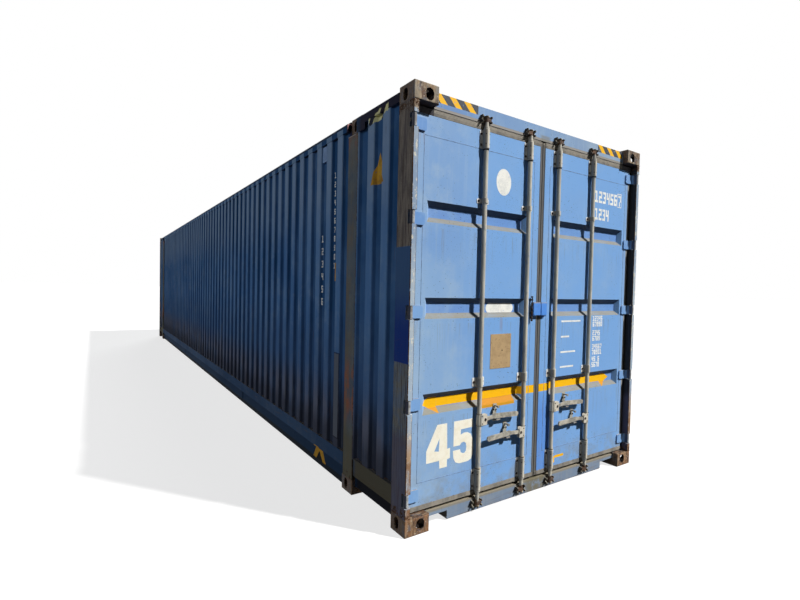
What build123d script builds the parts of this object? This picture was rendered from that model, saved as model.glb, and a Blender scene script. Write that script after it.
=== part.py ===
from build123d import *
import math
import os

# Shipping container, 45 ft high-cube, pallet-wide, with intermediate posts and castings at the 40 ft
# places. Millimetres. Origin at the bottom centre, +Y along the length, doors at -Y, +Z up.
# "Depth" is the distance inwards from an end face, the same at both ends.

# Overall size
LENGTH = 13716.0
WIDTH = 2500.0
HEIGHT = 2896.0
HALF_LENGTH = LENGTH / 2
HALF_WIDTH = WIDTH / 2

# Corner castings and their apertures
CASTING_WIDTH = 193.0
CASTING_LENGTH = 178.0
CASTING_HEIGHT = 118.0
CASTING_WALL = 10.0
CASTING_SOLE = 26.0
CASTING_CROWN = 12.0
CASTING_EDGE_RADIUS = 8.0
APERTURE_FROM_SIDE = 120.5
APERTURE_FROM_END = 103.5
SOLE_SLOT = (124.0, 63.5)
END_SLOT = (79.5, 63.5)
SIDE_SLOT = (79.5, 51.0)
SIDE_SLOT_FROM_END = 101.5
SLOT_HEIGHT = 66.0

# Places of the intermediate castings and posts
INNER_CASTING_DEPTH = 762.0
INNER_SETBACK = 31.0
INNER_HALF_WIDTH = HALF_WIDTH - INNER_SETBACK
INNER_POST_LENGTH = 163.0

# Posts
POST_WIDTH = 42.0
POST_WALL = 6.0
POST_NOSE_RADIUS = 6.0
POST_LEDGE_DROP = 23.0

# Header and sill of the door frame
FRAME_SETBACK = 55.0
BEAM_WALL = 6.0
HEADER_DROP = 16.0
HEADER_HEIGHT = 110.0
HEADER_TOP = HEIGHT - HEADER_DROP
HEADER_BOTTOM = HEADER_TOP - HEADER_HEIGHT
SILL_BOTTOM = 10.0
SILL_FRONT_TOP = 105.0
SILL_REAR_TOP = 113.0
SILL_STOP_DEPTH = 118.0
SILL_NOTCH_WIDTH = 187.0
SILL_NOTCH_TOP = 70.0

# Floor
FLOOR_TOP = 176.0
FLOOR_THICKNESS = 28.0
FLOOR_UNDERSIDE = FLOOR_TOP - FLOOR_THICKNESS
CROSS_MEMBER_HEIGHT = 117.0
SHORT_MEMBER_HEIGHT = 79.0
CROSS_MEMBER_FLANGE = 45.0
CROSS_MEMBER_WALL = 4.0
CROSS_MEMBER_PITCH = 305.0
OVERHANG_MEMBER_PITCH = 195.0

# Side rails
RAIL_WALL = 5.0
RAIL_BOTTOM = 12.0
RAIL_SHOULDER = FLOOR_TOP + 2.0
RAIL_UPPER_HEIGHT = 112.0
RAIL_TOP = RAIL_SHOULDER + RAIL_UPPER_HEIGHT
RAIL_LOWER_HALF_WIDTH = INNER_HALF_WIDTH
RAIL_FOOT = 50.0
RAIL_HEAD = 45.0
OVERHANG_RAIL_BOTTOM = 64.0
OVERHANG_RAIL_SHOULDER = 150.0
OVERHANG_RAIL_INSET = 12.0
OVERHANG_RAIL_LIP = 6.0
LIFT_PLATE_OFFSET = 2438.0
LIFT_PLATE_LENGTH = 600.0
LIFT_PLATE_HEIGHT = 110.0
LIFT_PLATE_THICKNESS = 6.0
TOP_RAIL_SIZE = 60.0
TOP_RAIL_WALL = 4.0
TOP_RAIL_DROP = 31.0
TOP_RAIL_TOP = HEIGHT - TOP_RAIL_DROP
GUSSET_LENGTH = 134.0
GUSSET_LAP = 28.0

# Corrugated walls
SHEET = 2.0
WALL_INSET = 2.0
WAVE_PITCH = 216.0
WAVE_CREST = 90.0
WAVE_SLOPE = 18.0
WAVE_DEPTH = 25.0
OVERHANG_FIRST_CREST = 300.0
OVERHANG_CRESTS = 2
LAST_RISE_FROM_POST = 27.0
MAIN_FIRST_CREST = 1040.0

# Roof
ROOF_PITCH = 209.0
ROOF_CREST = 110.0
ROOF_SLOPE = 20.0
ROOF_RISE = 16.0
ROOF_INSET = 25.0
ROOF_CLEARANCE = 2.0

# Front wall
FRONT_WALL_SETBACK = 30.0
FRONT_WAVE_PITCH = 250.0
FRONT_WAVE_CREST = 110.0
FRONT_WAVE_SLOPE = 18.0
FRONT_WAVE_DEPTH = 45.0
FRONT_BEAM_DEPTH = 120.0

# Door leaves
LEAF_FACE = 60.0
LEAF_THICKNESS = 50.0
LEAF_SIDE_GAP = 65.0
LEAF_OUTER_EDGE = HALF_WIDTH - LEAF_SIDE_GAP
LEAF_INNER_EDGE = 30.0
LEAF_FOOT_LAP = 16.0
LEAF_HEAD_GAP = 46.0
LEAF_BOTTOM = FLOOR_TOP - LEAF_FOOT_LAP
LEAF_TOP = HEADER_BOTTOM - LEAF_HEAD_GAP
LEAF_TUBE_WALL = 3.0
STILE_WIDTH = 60.0
TOP_RAIL_HEIGHT = 132.0
BOTTOM_RAIL_HEIGHT = 152.0
WEEP_HOLE_RADIUS = 6.0

# Pressed recesses in the door panels, placed as shares of the leaf height
RECESS_PLACES = (0.2605, 0.5101, 0.7582)
RECESS_LEVELS = [LEAF_BOTTOM + share * (LEAF_TOP - LEAF_BOTTOM) for share in RECESS_PLACES]
RECESS_HEIGHT = 140.0
RECESS_DEPTH = 36.0
RECESS_SLOPE = 36.0
RECESS_OUTER_MARGIN = 33.0
RECESS_INNER_MARGIN = 60.0

# Door gaskets
GASKET_SETBACK = 8.0
GASKET_DEPTH = LEAF_FACE + GASKET_SETBACK
GASKET_THICKNESS = 12.0
GASKET_SIDE_LAP = 18.0
GASKET_FOOT_LAP = 36.0
GASKET_HEAD_LAP = 40.0
GASKET_INNER_EDGE = 4.5

# Lap plates in the middle of the doors
LAP_BOTTOM_DROP = 57.0
LAP_HEIGHT = 100.0
LAP_THICKNESS = 6.0
LAP_STANDOFF = 22.0
LAP_LEFT_REACH = 83.0
LAP_RIGHT_REACH = 90.0
LAP_JOGGLE = 30.0
LAP_FOOT = 12.0
LAP_SPACER = 24.0

# Hinges
HINGE_COUNT = 5
HINGE_LOWEST_RISE = 76.0
HINGE_HIGHEST_DROP = 72.0
HINGE_LOWEST = LEAF_BOTTOM + HINGE_LOWEST_RISE
HINGE_SPACING = (LEAF_TOP - HINGE_HIGHEST_DROP - HINGE_LOWEST) / (HINGE_COUNT - 1)
HINGE_HEIGHT = 80.0
HINGE_GAP = 5.0
HINGE_PLATE = 12.0
HINGE_REACH = 116.0
HINGE_CORNER_RADIUS = 14.0
HINGE_BARREL_RADIUS = 16.0
PIN_RADIUS = 9.0
PIN_CLEARANCE = 0.5
PIN_FROM_SIDE = 18.0
PIN_DEPTH = 17.5
ARM_HALF_THICKNESS = 5.0
ARM_FOOT = 33.0
LUG_THICKNESS = 10.0
NOTCH_DEPTH = 44.0
NOTCH_INNER_DEPTH = 62.0
NOTCH_INNER_WIDTH = 27.0

# Locking bars
OUTER_BAR_FROM_EDGE = 570.0
INNER_BAR_FROM_EDGE = 137.0
BAR_OFFSETS = {
    "outer": LEAF_OUTER_EDGE - OUTER_BAR_FROM_EDGE,
    "inner": LEAF_INNER_EDGE + INNER_BAR_FROM_EDGE,
}
BAR_DEPTH = 35.0
BAR_RADIUS = 17.0
BAR_END_RADIUS = 14.0
BAR_RISE = 42.0
BAR_LAP = 38.0
BAR_BOTTOM = SILL_BOTTOM + BAR_RISE
BAR_TOP = HEADER_BOTTOM + BAR_LAP
COLLAR_RADIUS = 20.0
COLLAR_HEIGHT = 10.0
CAM_HEIGHT = 22.0
CAM_FROM_END = 6.0
CAM_REACH = 36.0
CAM_HALF_WIDTH = 10.0

# Cam keepers
KEEPER_GAP = 5.0
KEEPER_PLATE = 8.0
KEEPER_REACH = 40.0
KEEPER_HEIGHT = 50.0
KEEPER_END_GAP = 6.0

# Bar guides
GUIDE_WALL = 5.0
GUIDE_CLEARANCE = 0.5
GUIDE_FLANGE = 4.0
GUIDE_HALF_WIDTH = 42.0
GUIDE_END_GAP = 3.0
BRACKET_HALF_WIDTH = 55.0
BRACKET_CORNER_RADIUS = 8.0
LOWER_BRACKET_RISE = 42.0
LOWER_BRACKET_HEIGHT = 64.0
UPPER_BRACKET_RISE = 51.0
UPPER_BRACKET_HEIGHT = 34.0

# Handles, placed below the lowest recess
HANDLE_DROPS = {
    ("left", "outer"): 158.0,
    ("left", "inner"): 308.0,
    ("right", "inner"): 160.0,
    ("right", "outer"): 311.0,
}
HANDLE_PIVOT = 40.0
HANDLE_END_GAP = 88.0
HANDLE_LENGTH = BAR_OFFSETS["outer"] - BAR_OFFSETS["inner"] - HANDLE_PIVOT - HANDLE_END_GAP
HANDLE_BEND = 110.0
HANDLE_BEND_RISE = 11.0
HANDLE_ARM_WIDTH = 26.0
HANDLE_WIDTH = 35.0
HANDLE_THICKNESS = 12.0
HANDLE_ROOT_RADIUS = 16.0
HANDLE_DEPTH = 16.0
HUB_PLATE = 5.0
HUB_HEIGHT = 78.0
HUB_GAP = 1.0
HUB_EDGE = 16.0
HUB_SLOT_START = 22.0
PIVOT_RADIUS = 7.0

# Handle catches
CATCH_FROM_PIVOT = 130.0
CATCH_WIDTH = 36.0
CATCH_BELOW = 37.0
CATCH_ABOVE = 91.0
CATCH_PLATE = 4.0
SHELF_DROP = 15.0
SHELF_THICKNESS = 8.0
SHELF_DEPTH = 14.0
PRONG_RISE = 66.0
PRONG_LIP = 6.0

# Side vents
VENT_DEPTH = 1364.0
VENT_HEIGHT = 130.0
VENT_DROP = 12.0
VENT_THICKNESS = 18.0

SIDES = {"left": -1, "right": 1}


def block(x0, x1, y0, y1, z0, z1):
    """Rectangular block between two opposite corners."""
    centre = Pos((x0 + x1) / 2, (y0 + y1) / 2, (z0 + z1) / 2)
    return centre * Box(x1 - x0, y1 - y0, z1 - z0)


def outline(points):
    """Face inside a closed line of points."""
    return make_face(Polyline(*points, close=True))


def prism_up(face, z0, z1):
    """Plan face raised from z0 to z1."""
    return extrude(Pos(0, 0, z0) * face, amount=z1 - z0)


def prism_along(face, y0, y1):
    """Cross section in x and z run from y0 to y1."""
    plane = Plane(origin=(0, y0, 0), x_dir=(1, 0, 0), z_dir=(0, -1, 0))
    return extrude(plane * face, amount=-(y1 - y0))


def prism_across(face, x0, x1):
    """Cross section in y and z run from x0 to x1."""
    plane = Plane(origin=(x0, 0, 0), x_dir=(0, 1, 0), z_dir=(1, 0, 0))
    return extrude(plane * face, amount=x1 - x0)


def door_y(depth):
    """Place along the length at a depth behind the door end."""
    return depth - HALF_LENGTH


def other_side(part):
    """The same piece on the other side of the container."""
    return mirror(part, about=Plane.YZ)


def other_end(part):
    """The same piece at the other end of the container."""
    return mirror(part, about=Plane.XZ)


def casting(half_width):
    """Bottom casting of the right side at the door end, hollow, with its three apertures."""
    outer = half_width
    inner = half_width - CASTING_WIDTH
    front = door_y(0)
    back = door_y(CASTING_LENGTH)
    body = block(inner, outer, front, back, 0, CASTING_HEIGHT)
    edges = [e for e in body.edges() if e.center().Y < front + 1 or e.center().X > outer - 1]
    body = fillet(edges, CASTING_EDGE_RADIUS)
    cavity = block(
        inner + CASTING_WALL,
        outer - CASTING_WALL,
        front + CASTING_WALL,
        back - CASTING_WALL,
        CASTING_SOLE,
        CASTING_HEIGHT - CASTING_CROWN,
    )
    aperture_x = half_width - APERTURE_FROM_SIDE
    sole = Pos(aperture_x, door_y(APERTURE_FROM_END)) * SlotOverall(*SOLE_SLOT, rotation=90)
    end = Pos(aperture_x, SLOT_HEIGHT) * SlotOverall(*END_SLOT, rotation=90)
    side = Pos(door_y(SIDE_SLOT_FROM_END), SLOT_HEIGHT) * SlotOverall(*SIDE_SLOT, rotation=90)
    body -= cavity
    body -= prism_up(sole, 0, CASTING_SOLE)
    body -= prism_along(end, front, front + CASTING_WALL)
    body -= prism_across(side, outer - CASTING_WALL, outer)
    return body


def raised(part):
    """A bottom casting turned over as the top casting above it."""
    return Pos(0, 0, HEIGHT) * mirror(part, about=Plane.XY)


def four_castings(bottom, top):
    """Bottom and top castings of both sides at one end."""
    right = [bottom, raised(top)]
    return right + [other_side(part) for part in right]


def inner_castings():
    """Intermediate castings of both ends."""
    shift = Pos(0, INNER_CASTING_DEPTH, 0)
    bottom = shift * casting(HALF_WIDTH)
    top = shift * casting(INNER_HALF_WIDTH)
    group = four_castings(bottom, top)
    return group + [other_end(part) for part in group]


def hinge_heights():
    """Middle heights of the five hinges."""
    return [HINGE_LOWEST + HINGE_SPACING * n for n in range(HINGE_COUNT)]


def post_tube(depth0, depth1, z0, z1):
    """Closed post section of the right side, as a solid bar and its hollow."""
    inner = HALF_WIDTH - POST_WIDTH
    body = block(inner, HALF_WIDTH, door_y(depth0), door_y(depth1), z0, z1)
    body = fillet(body.edges().filter_by(Axis.Z), POST_NOSE_RADIUS)
    hollow = block(
        inner + POST_WALL,
        HALF_WIDTH - POST_WALL,
        door_y(depth0 + POST_WALL),
        door_y(depth1 - POST_WALL),
        z0,
        z1,
    )
    return body, hollow


def nose_block(width, depth, height, half):
    """Block over the nose of the right door post, from its inner face, about a hinge height."""
    inner = HALF_WIDTH - POST_WIDTH
    return block(inner, inner + width, door_y(0), door_y(depth), height - half, height + half)


def door_post():
    """Door-end post of the right side, with a stepped notch and two lugs at each hinge."""
    body, hollow = post_tube(0, CASTING_LENGTH, CASTING_HEIGHT, HEIGHT - CASTING_HEIGHT)
    pin_x = HALF_WIDTH - PIN_FROM_SIDE
    notch_half = HINGE_HEIGHT / 2 + HINGE_GAP
    lug_half = notch_half + LUG_THICKNESS
    for height in hinge_heights():
        hollow -= nose_block(POST_WIDTH, NOTCH_INNER_DEPTH, height, lug_half)
    body -= hollow
    for height in hinge_heights():
        body -= nose_block(POST_WIDTH, NOTCH_DEPTH, height, notch_half)
        body -= nose_block(NOTCH_INNER_WIDTH, NOTCH_INNER_DEPTH, height, notch_half)
        bore = Cylinder(PIN_RADIUS + PIN_CLEARANCE, 2 * lug_half)
        body -= Pos(pin_x, door_y(PIN_DEPTH), height) * bore
    return body


def hinge_pins():
    """Pins of both doors, each through its two lugs."""
    length = HINGE_HEIGHT + 2 * (HINGE_GAP + LUG_THICKNESS)
    pin_x = HALF_WIDTH - PIN_FROM_SIDE
    pins = []
    for height in hinge_heights():
        pin = Pos(pin_x, door_y(PIN_DEPTH), height) * Cylinder(PIN_RADIUS, length)
        pins += [pin, other_side(pin)]
    return pins


def plain_post(depth0, depth1, top):
    """Post of the right side without notches."""
    body, hollow = post_tube(depth0, depth1, CASTING_HEIGHT, top)
    return body - hollow


def front_posts():
    """Corner posts of the front end."""
    right = other_end(plain_post(0, CASTING_LENGTH, HEIGHT - CASTING_HEIGHT))
    return [right, other_side(right)]


def inner_posts():
    """Intermediate posts of both ends, stepped in under the set-back top castings."""
    front = INNER_CASTING_DEPTH
    back = front + INNER_POST_LENGTH
    inner = HALF_WIDTH - POST_WIDTH
    top = HEIGHT - CASTING_HEIGHT
    ledge = top - POST_LEDGE_DROP
    post = plain_post(front, back, ledge - POST_WALL)
    post += block(inner, HALF_WIDTH, door_y(front), door_y(back), ledge - POST_WALL, ledge)
    post += block(inner, INNER_HALF_WIDTH, door_y(front), door_y(back), ledge, top)
    pair = [post, other_side(post)]
    return pair + [other_end(part) for part in pair]


def box_beam(depth0, depth1, z0, z1):
    """Hollow beam across the container between its castings, at the door end."""
    half = HALF_WIDTH - CASTING_WIDTH
    body = block(-half, half, door_y(depth0), door_y(depth1), z0, z1)
    hollow = block(
        -half,
        half,
        door_y(depth0 + BEAM_WALL),
        door_y(depth1 - BEAM_WALL),
        z0 + BEAM_WALL,
        z1 - BEAM_WALL,
    )
    return body - hollow


def door_header():
    """Header over the doors."""
    return box_beam(FRAME_SETBACK, CASTING_LENGTH, HEADER_BOTTOM, HEADER_TOP)


def door_sill():
    """Sill under the doors: sloped top, door stop behind, and a notch beside each casting."""
    half = HALF_WIDTH - CASTING_WIDTH
    front = door_y(FRAME_SETBACK)
    stop = door_y(SILL_STOP_DEPTH)
    back = door_y(CASTING_LENGTH)
    wall = BEAM_WALL
    section = outline(
        [
            (front, SILL_BOTTOM),
            (front, SILL_FRONT_TOP),
            (stop, SILL_REAR_TOP),
            (stop, FLOOR_TOP),
            (back, FLOOR_TOP),
            (back, SILL_BOTTOM),
        ]
    )
    hollow = outline(
        [
            (front + wall, SILL_BOTTOM + wall),
            (front + wall, SILL_FRONT_TOP - wall),
            (stop + wall, SILL_REAR_TOP - wall),
            (stop + wall, FLOOR_UNDERSIDE),
            (back - wall, FLOOR_UNDERSIDE),
            (back - wall, SILL_BOTTOM + wall),
        ]
    )
    body = prism_across(section, -half, half) - prism_across(hollow, -half, half)
    for side in SIDES.values():
        ends = sorted((side * half, side * (half - SILL_NOTCH_WIDTH)))
        body -= block(*ends, front, back, SILL_BOTTOM, SILL_NOTCH_TOP)
    return body


def s_rail():
    """Cross section of the main bottom rail of the right side."""
    lower = RAIL_LOWER_HALF_WIDTH
    t = RAIL_WALL
    return outline(
        [
            (lower - RAIL_FOOT, RAIL_BOTTOM),
            (lower, RAIL_BOTTOM),
            (lower, RAIL_SHOULDER),
            (HALF_WIDTH, RAIL_SHOULDER),
            (HALF_WIDTH, RAIL_TOP),
            (HALF_WIDTH - RAIL_HEAD, RAIL_TOP),
            (HALF_WIDTH - RAIL_HEAD, RAIL_TOP - t),
            (HALF_WIDTH - t, RAIL_TOP - t),
            (HALF_WIDTH - t, RAIL_SHOULDER + t),
            (lower - t, RAIL_SHOULDER + t),
            (lower - t, RAIL_BOTTOM + t),
            (lower - RAIL_FOOT, RAIL_BOTTOM + t),
        ]
    )


def bottom_rail():
    """Main bottom rail of the right side, cut over the intermediate castings, with lift plates."""
    post_back = INNER_CASTING_DEPTH + INNER_POST_LENGTH
    casting_back = INNER_CASTING_DEPTH + CASTING_LENGTH
    rail = prism_along(s_rail(), door_y(post_back), -door_y(post_back))
    lift_bottom = RAIL_SHOULDER - RAIL_WALL - LIFT_PLATE_HEIGHT
    plate = block(
        RAIL_LOWER_HALF_WIDTH,
        RAIL_LOWER_HALF_WIDTH + LIFT_PLATE_THICKNESS,
        LIFT_PLATE_OFFSET - LIFT_PLATE_LENGTH / 2,
        LIFT_PLATE_OFFSET + LIFT_PLATE_LENGTH / 2,
        lift_bottom,
        lift_bottom + LIFT_PLATE_HEIGHT,
    )
    rail += plate
    rail += other_end(plate)
    over = block(
        HALF_WIDTH - CASTING_WIDTH,
        HALF_WIDTH,
        door_y(post_back),
        door_y(casting_back),
        0,
        CASTING_HEIGHT,
    )
    return rail - over - other_end(over)


def overhang_rails():
    """Short bottom rails between the end posts and the intermediate posts."""
    t = RAIL_WALL
    lower = RAIL_LOWER_HALF_WIDTH
    face = HALF_WIDTH - OVERHANG_RAIL_INSET
    lip = RAIL_TOP - OVERHANG_RAIL_LIP
    section = outline(
        [
            (lower - RAIL_FOOT, OVERHANG_RAIL_BOTTOM),
            (lower, OVERHANG_RAIL_BOTTOM),
            (lower, OVERHANG_RAIL_SHOULDER),
            (face, OVERHANG_RAIL_SHOULDER),
            (face, lip),
            (HALF_WIDTH, lip),
            (HALF_WIDTH, RAIL_TOP),
            (HALF_WIDTH - RAIL_HEAD, RAIL_TOP),
            (HALF_WIDTH - RAIL_HEAD, lip),
            (face - t, lip),
            (face - t, OVERHANG_RAIL_SHOULDER + t),
            (lower - t, OVERHANG_RAIL_SHOULDER + t),
            (lower - t, OVERHANG_RAIL_BOTTOM + t),
            (lower - RAIL_FOOT, OVERHANG_RAIL_BOTTOM + t),
        ]
    )
    rail = prism_along(section, door_y(CASTING_LENGTH), door_y(INNER_CASTING_DEPTH))
    pair = [rail, other_side(rail)]
    return pair + [other_end(part) for part in pair]


def top_rail():
    """Square top rail of the right side in three lengths, with gussets at the castings between."""
    z0 = TOP_RAIL_TOP - TOP_RAIL_SIZE
    x0 = HALF_WIDTH - TOP_RAIL_SIZE
    t = TOP_RAIL_WALL

    def length(y0, y1):
        tube = block(x0, HALF_WIDTH, y0, y1, z0, TOP_RAIL_TOP)
        return tube - block(x0 + t, HALF_WIDTH - t, y0, y1, z0 + t, TOP_RAIL_TOP - t)

    short = length(door_y(CASTING_LENGTH), door_y(INNER_CASTING_DEPTH))
    gusset_end = door_y(INNER_CASTING_DEPTH + GUSSET_LAP)
    short += block(
        HALF_WIDTH - WALL_INSET,
        HALF_WIDTH,
        gusset_end - GUSSET_LENGTH,
        gusset_end,
        HEIGHT - CASTING_HEIGHT - POST_LEDGE_DROP,
        TOP_RAIL_TOP,
    )
    inner = door_y(INNER_CASTING_DEPTH + CASTING_LENGTH)
    return [short, length(inner, -inner), other_end(short)]


def wave_line(start, stop, crests, pitch_sizes, level, last_rise=None):
    """Corners of a corrugated sheet seen in plan, as (along, out) pairs for its outer and inner face.

    The line starts and ends at the valley level, and ends at the crest level after last_rise.
    """
    crest, slope, depth = pitch_sizes
    shift = SHEET * math.tan(math.atan2(depth, slope) / 2)
    low = level - depth
    outer = [(start, low)]
    inner = [(start, low - SHEET)]
    for at in crests:
        outer += [(at - slope, low), (at, level), (at + crest, level), (at + crest + slope, low)]
        inner += [
            (at - slope + shift, low - SHEET),
            (at + shift, level - SHEET),
            (at + crest - shift, level - SHEET),
            (at + crest + slope - shift, low - SHEET),
        ]
    if last_rise is None:
        outer.append((stop, low))
        inner.append((stop, low - SHEET))
    else:
        outer += [(last_rise, low), (last_rise + slope, level), (stop, level)]
        inner += [
            (last_rise + shift, low - SHEET),
            (last_rise + slope + shift, level - SHEET),
            (stop, level - SHEET),
        ]
    return outer + inner[::-1]


def crest_places(first, stop, pitch, crest, slope):
    """Starts of the crests from the first one on, as far as whole waves fit before stop."""
    count = int((stop - slope - crest - first) // pitch) + 1
    return [first + pitch * n for n in range(count)]


def main_crests():
    """Depths at which the crests of the long side panels start."""
    stop = LENGTH - INNER_CASTING_DEPTH - INNER_POST_LENGTH
    return crest_places(MAIN_FIRST_CREST, stop, WAVE_PITCH, WAVE_CREST, WAVE_SLOPE)


def side_wall():
    """Side wall of the right side: the long panel and the two overhang panels."""
    sizes = (WAVE_CREST, WAVE_SLOPE, WAVE_DEPTH)
    level = HALF_WIDTH - WALL_INSET
    z1 = TOP_RAIL_TOP - TOP_RAIL_SIZE
    post_back = INNER_CASTING_DEPTH + INNER_POST_LENGTH

    def panel(line):
        return prism_up(outline([(x, door_y(depth)) for depth, x in line]), RAIL_TOP, z1)

    long_panel = panel(wave_line(post_back, LENGTH - post_back, main_crests(), sizes, level))
    crests = [OVERHANG_FIRST_CREST + WAVE_PITCH * n for n in range(OVERHANG_CRESTS)]
    last_rise = INNER_CASTING_DEPTH - LAST_RISE_FROM_POST
    short = panel(
        wave_line(CASTING_LENGTH, INNER_CASTING_DEPTH, crests, sizes, level, last_rise=last_rise)
    )
    return [long_panel, short, other_end(short)]


def front_wall():
    """Corrugated front wall between the front posts."""
    half = HALF_WIDTH - POST_WIDTH
    sizes = (FRONT_WAVE_CREST, FRONT_WAVE_SLOPE, FRONT_WAVE_DEPTH)
    level = HALF_LENGTH - FRONT_WALL_SETBACK
    waves = int((2 * half - FRONT_WAVE_CREST) // FRONT_WAVE_PITCH)
    first = -(FRONT_WAVE_PITCH * (waves - 1) + FRONT_WAVE_CREST) / 2
    crests = [first + FRONT_WAVE_PITCH * n for n in range(waves)]
    line = wave_line(-half, half, crests, sizes, level)
    return prism_up(outline(line), RAIL_TOP, HEADER_BOTTOM)


def front_beams():
    """Beams over and under the front wall."""
    heights = ((HEADER_BOTTOM, HEADER_TOP), (SILL_BOTTOM, RAIL_TOP))
    return [other_end(box_beam(0, FRONT_BEAM_DEPTH, low, high)) for low, high in heights]


def roof():
    """Roof sheet with shallow ribs across, cut round the intermediate castings."""
    start = CASTING_LENGTH
    stop = LENGTH - FRONT_BEAM_DEPTH
    slope = ROOF_SLOPE
    level = TOP_RAIL_TOP + SHEET + ROOF_RISE
    crests = crest_places(start + ROOF_PITCH / 2, stop, ROOF_PITCH, ROOF_CREST, slope)
    line = wave_line(start, stop, crests, (ROOF_CREST, slope, ROOF_RISE), level)
    section = outline([(door_y(depth), z) for depth, z in line])
    half = HALF_WIDTH - ROOF_INSET
    sheet = prism_across(section, -half, half)
    inner = INNER_HALF_WIDTH - CASTING_WIDTH - ROOF_CLEARANCE
    cut = block(
        inner,
        HALF_WIDTH,
        door_y(INNER_CASTING_DEPTH - ROOF_CLEARANCE),
        door_y(INNER_CASTING_DEPTH + CASTING_LENGTH + ROOF_CLEARANCE),
        TOP_RAIL_TOP,
        HEIGHT,
    )
    corner = block(
        HALF_WIDTH - CASTING_WIDTH - ROOF_CLEARANCE,
        HALF_WIDTH,
        -door_y(CASTING_LENGTH + ROOF_CLEARANCE),
        -door_y(0),
        TOP_RAIL_TOP,
        HEIGHT,
    )
    for piece in (cut, other_end(cut), corner):
        sheet -= piece
        sheet -= other_side(piece)
    return sheet


def floor_boards():
    """Floor from the door sill to the front sill."""
    half = RAIL_LOWER_HALF_WIDTH - RAIL_WALL
    y0 = door_y(CASTING_LENGTH)
    y1 = -door_y(FRONT_BEAM_DEPTH)
    boards = block(-half, half, y0, y1, FLOOR_UNDERSIDE, FLOOR_TOP)
    post_face = HALF_WIDTH - POST_WIDTH
    post_back = INNER_CASTING_DEPTH + INNER_POST_LENGTH
    corner = block(post_face, half, -door_y(CASTING_LENGTH), y1, 0, HEIGHT)
    beside_post = block(post_face, half, door_y(INNER_CASTING_DEPTH), door_y(post_back), 0, HEIGHT)
    for piece in (corner, beside_post, other_end(beside_post)):
        boards -= piece
        boards -= other_side(piece)
    return boards


def channel(depth, height):
    """One channel across under the floor, open to the front, between the bottom rails."""
    half = RAIL_LOWER_HALF_WIDTH - RAIL_WALL
    t = CROSS_MEMBER_WALL
    y0 = door_y(depth)
    y1 = y0 + CROSS_MEMBER_FLANGE
    bottom = FLOOR_UNDERSIDE - height
    hollow = block(-half, half, y0 + t, y1, bottom + t, FLOOR_UNDERSIDE - t)
    return block(-half, half, y0, y1, bottom, FLOOR_UNDERSIDE) - hollow


def spread(start, stop, pitch):
    """Depths of channels at a pitch, centred between two depths."""
    count = int((stop - start - 2 * CROSS_MEMBER_FLANGE) // pitch) + 1
    first = (start + stop - pitch * (count - 1) - CROSS_MEMBER_FLANGE) / 2
    return [first + pitch * n for n in range(count)]


def cross_members():
    """Channels under the floor, and a box beam between the intermediate castings of each end."""
    casting_back = INNER_CASTING_DEPTH + CASTING_LENGTH
    middle = spread(casting_back, LENGTH - casting_back, CROSS_MEMBER_PITCH)
    members = [channel(depth, CROSS_MEMBER_HEIGHT) for depth in middle]
    overhang = spread(CASTING_LENGTH, INNER_CASTING_DEPTH, OVERHANG_MEMBER_PITCH)
    short = [channel(depth, SHORT_MEMBER_HEIGHT) for depth in overhang]
    beam = box_beam(INNER_CASTING_DEPTH, casting_back, RAIL_BOTTOM, FLOOR_UNDERSIDE)
    door_end = short + [beam]
    return members + door_end + [other_end(part) for part in door_end]


def cam_keepers():
    """Open-front keepers for the four bars on header and sill."""
    front = door_y(FRAME_SETBACK - KEEPER_REACH)
    back = door_y(FRAME_SETBACK)
    inner = CAM_REACH + KEEPER_GAP
    outer = inner + KEEPER_PLATE
    keepers = []
    for side in SIDES.values():
        for offset in BAR_OFFSETS.values():
            x = side * offset
            top = BAR_TOP + KEEPER_END_GAP + KEEPER_PLATE
            low = top - KEEPER_HEIGHT
            upper = block(x - outer, x + outer, front, back, low, top)
            upper -= block(x - inner, x + inner, front, back, low, top - KEEPER_PLATE)
            low = BAR_BOTTOM - KEEPER_END_GAP - KEEPER_PLATE
            top = low + KEEPER_HEIGHT
            lower = block(x - outer, x + outer, front, back, low, top)
            lower -= block(x - inner, x + inner, front, back, low + KEEPER_PLATE, top)
            keepers += [upper, lower]
    return keepers


def vent_valleys():
    """Starts of the two valleys that hold the vents, one towards each end."""
    valleys = [crest + WAVE_CREST + WAVE_SLOPE for crest in main_crests()[:-1]]
    wanted = (VENT_DEPTH, LENGTH - VENT_DEPTH)
    return [min(valleys, key=lambda valley: abs(valley - depth)) for depth in wanted]


def vents():
    """Small vent covers in the valleys near the top of the side walls."""
    x0 = HALF_WIDTH - WALL_INSET - WAVE_DEPTH
    top = TOP_RAIL_TOP - TOP_RAIL_SIZE - VENT_DROP
    covers = []
    for start in vent_valleys():
        stop = start + WAVE_PITCH - WAVE_CREST - 2 * WAVE_SLOPE
        cover = block(
            x0, x0 + VENT_THICKNESS, door_y(start), door_y(stop), top - VENT_HEIGHT, top
        )
        covers += [cover, other_side(cover)]
    return covers


def leaf_box(inset, depth0, depth1):
    """Block over the whole right leaf, smaller by an inset on its four edges."""
    return block(
        LEAF_INNER_EDGE + inset,
        LEAF_OUTER_EDGE - inset,
        door_y(depth0),
        door_y(depth1),
        LEAF_BOTTOM + inset,
        LEAF_TOP - inset,
    )


def leaf_opening(inset, depth0, depth1):
    """Block over the panel opening of the right leaf, larger by an inset on its four edges."""
    return block(
        LEAF_INNER_EDGE + STILE_WIDTH - inset,
        LEAF_OUTER_EDGE - STILE_WIDTH + inset,
        door_y(depth0),
        door_y(depth1),
        LEAF_BOTTOM + BOTTOM_RAIL_HEIGHT - inset,
        LEAF_TOP - TOP_RAIL_HEIGHT + inset,
    )


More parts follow.
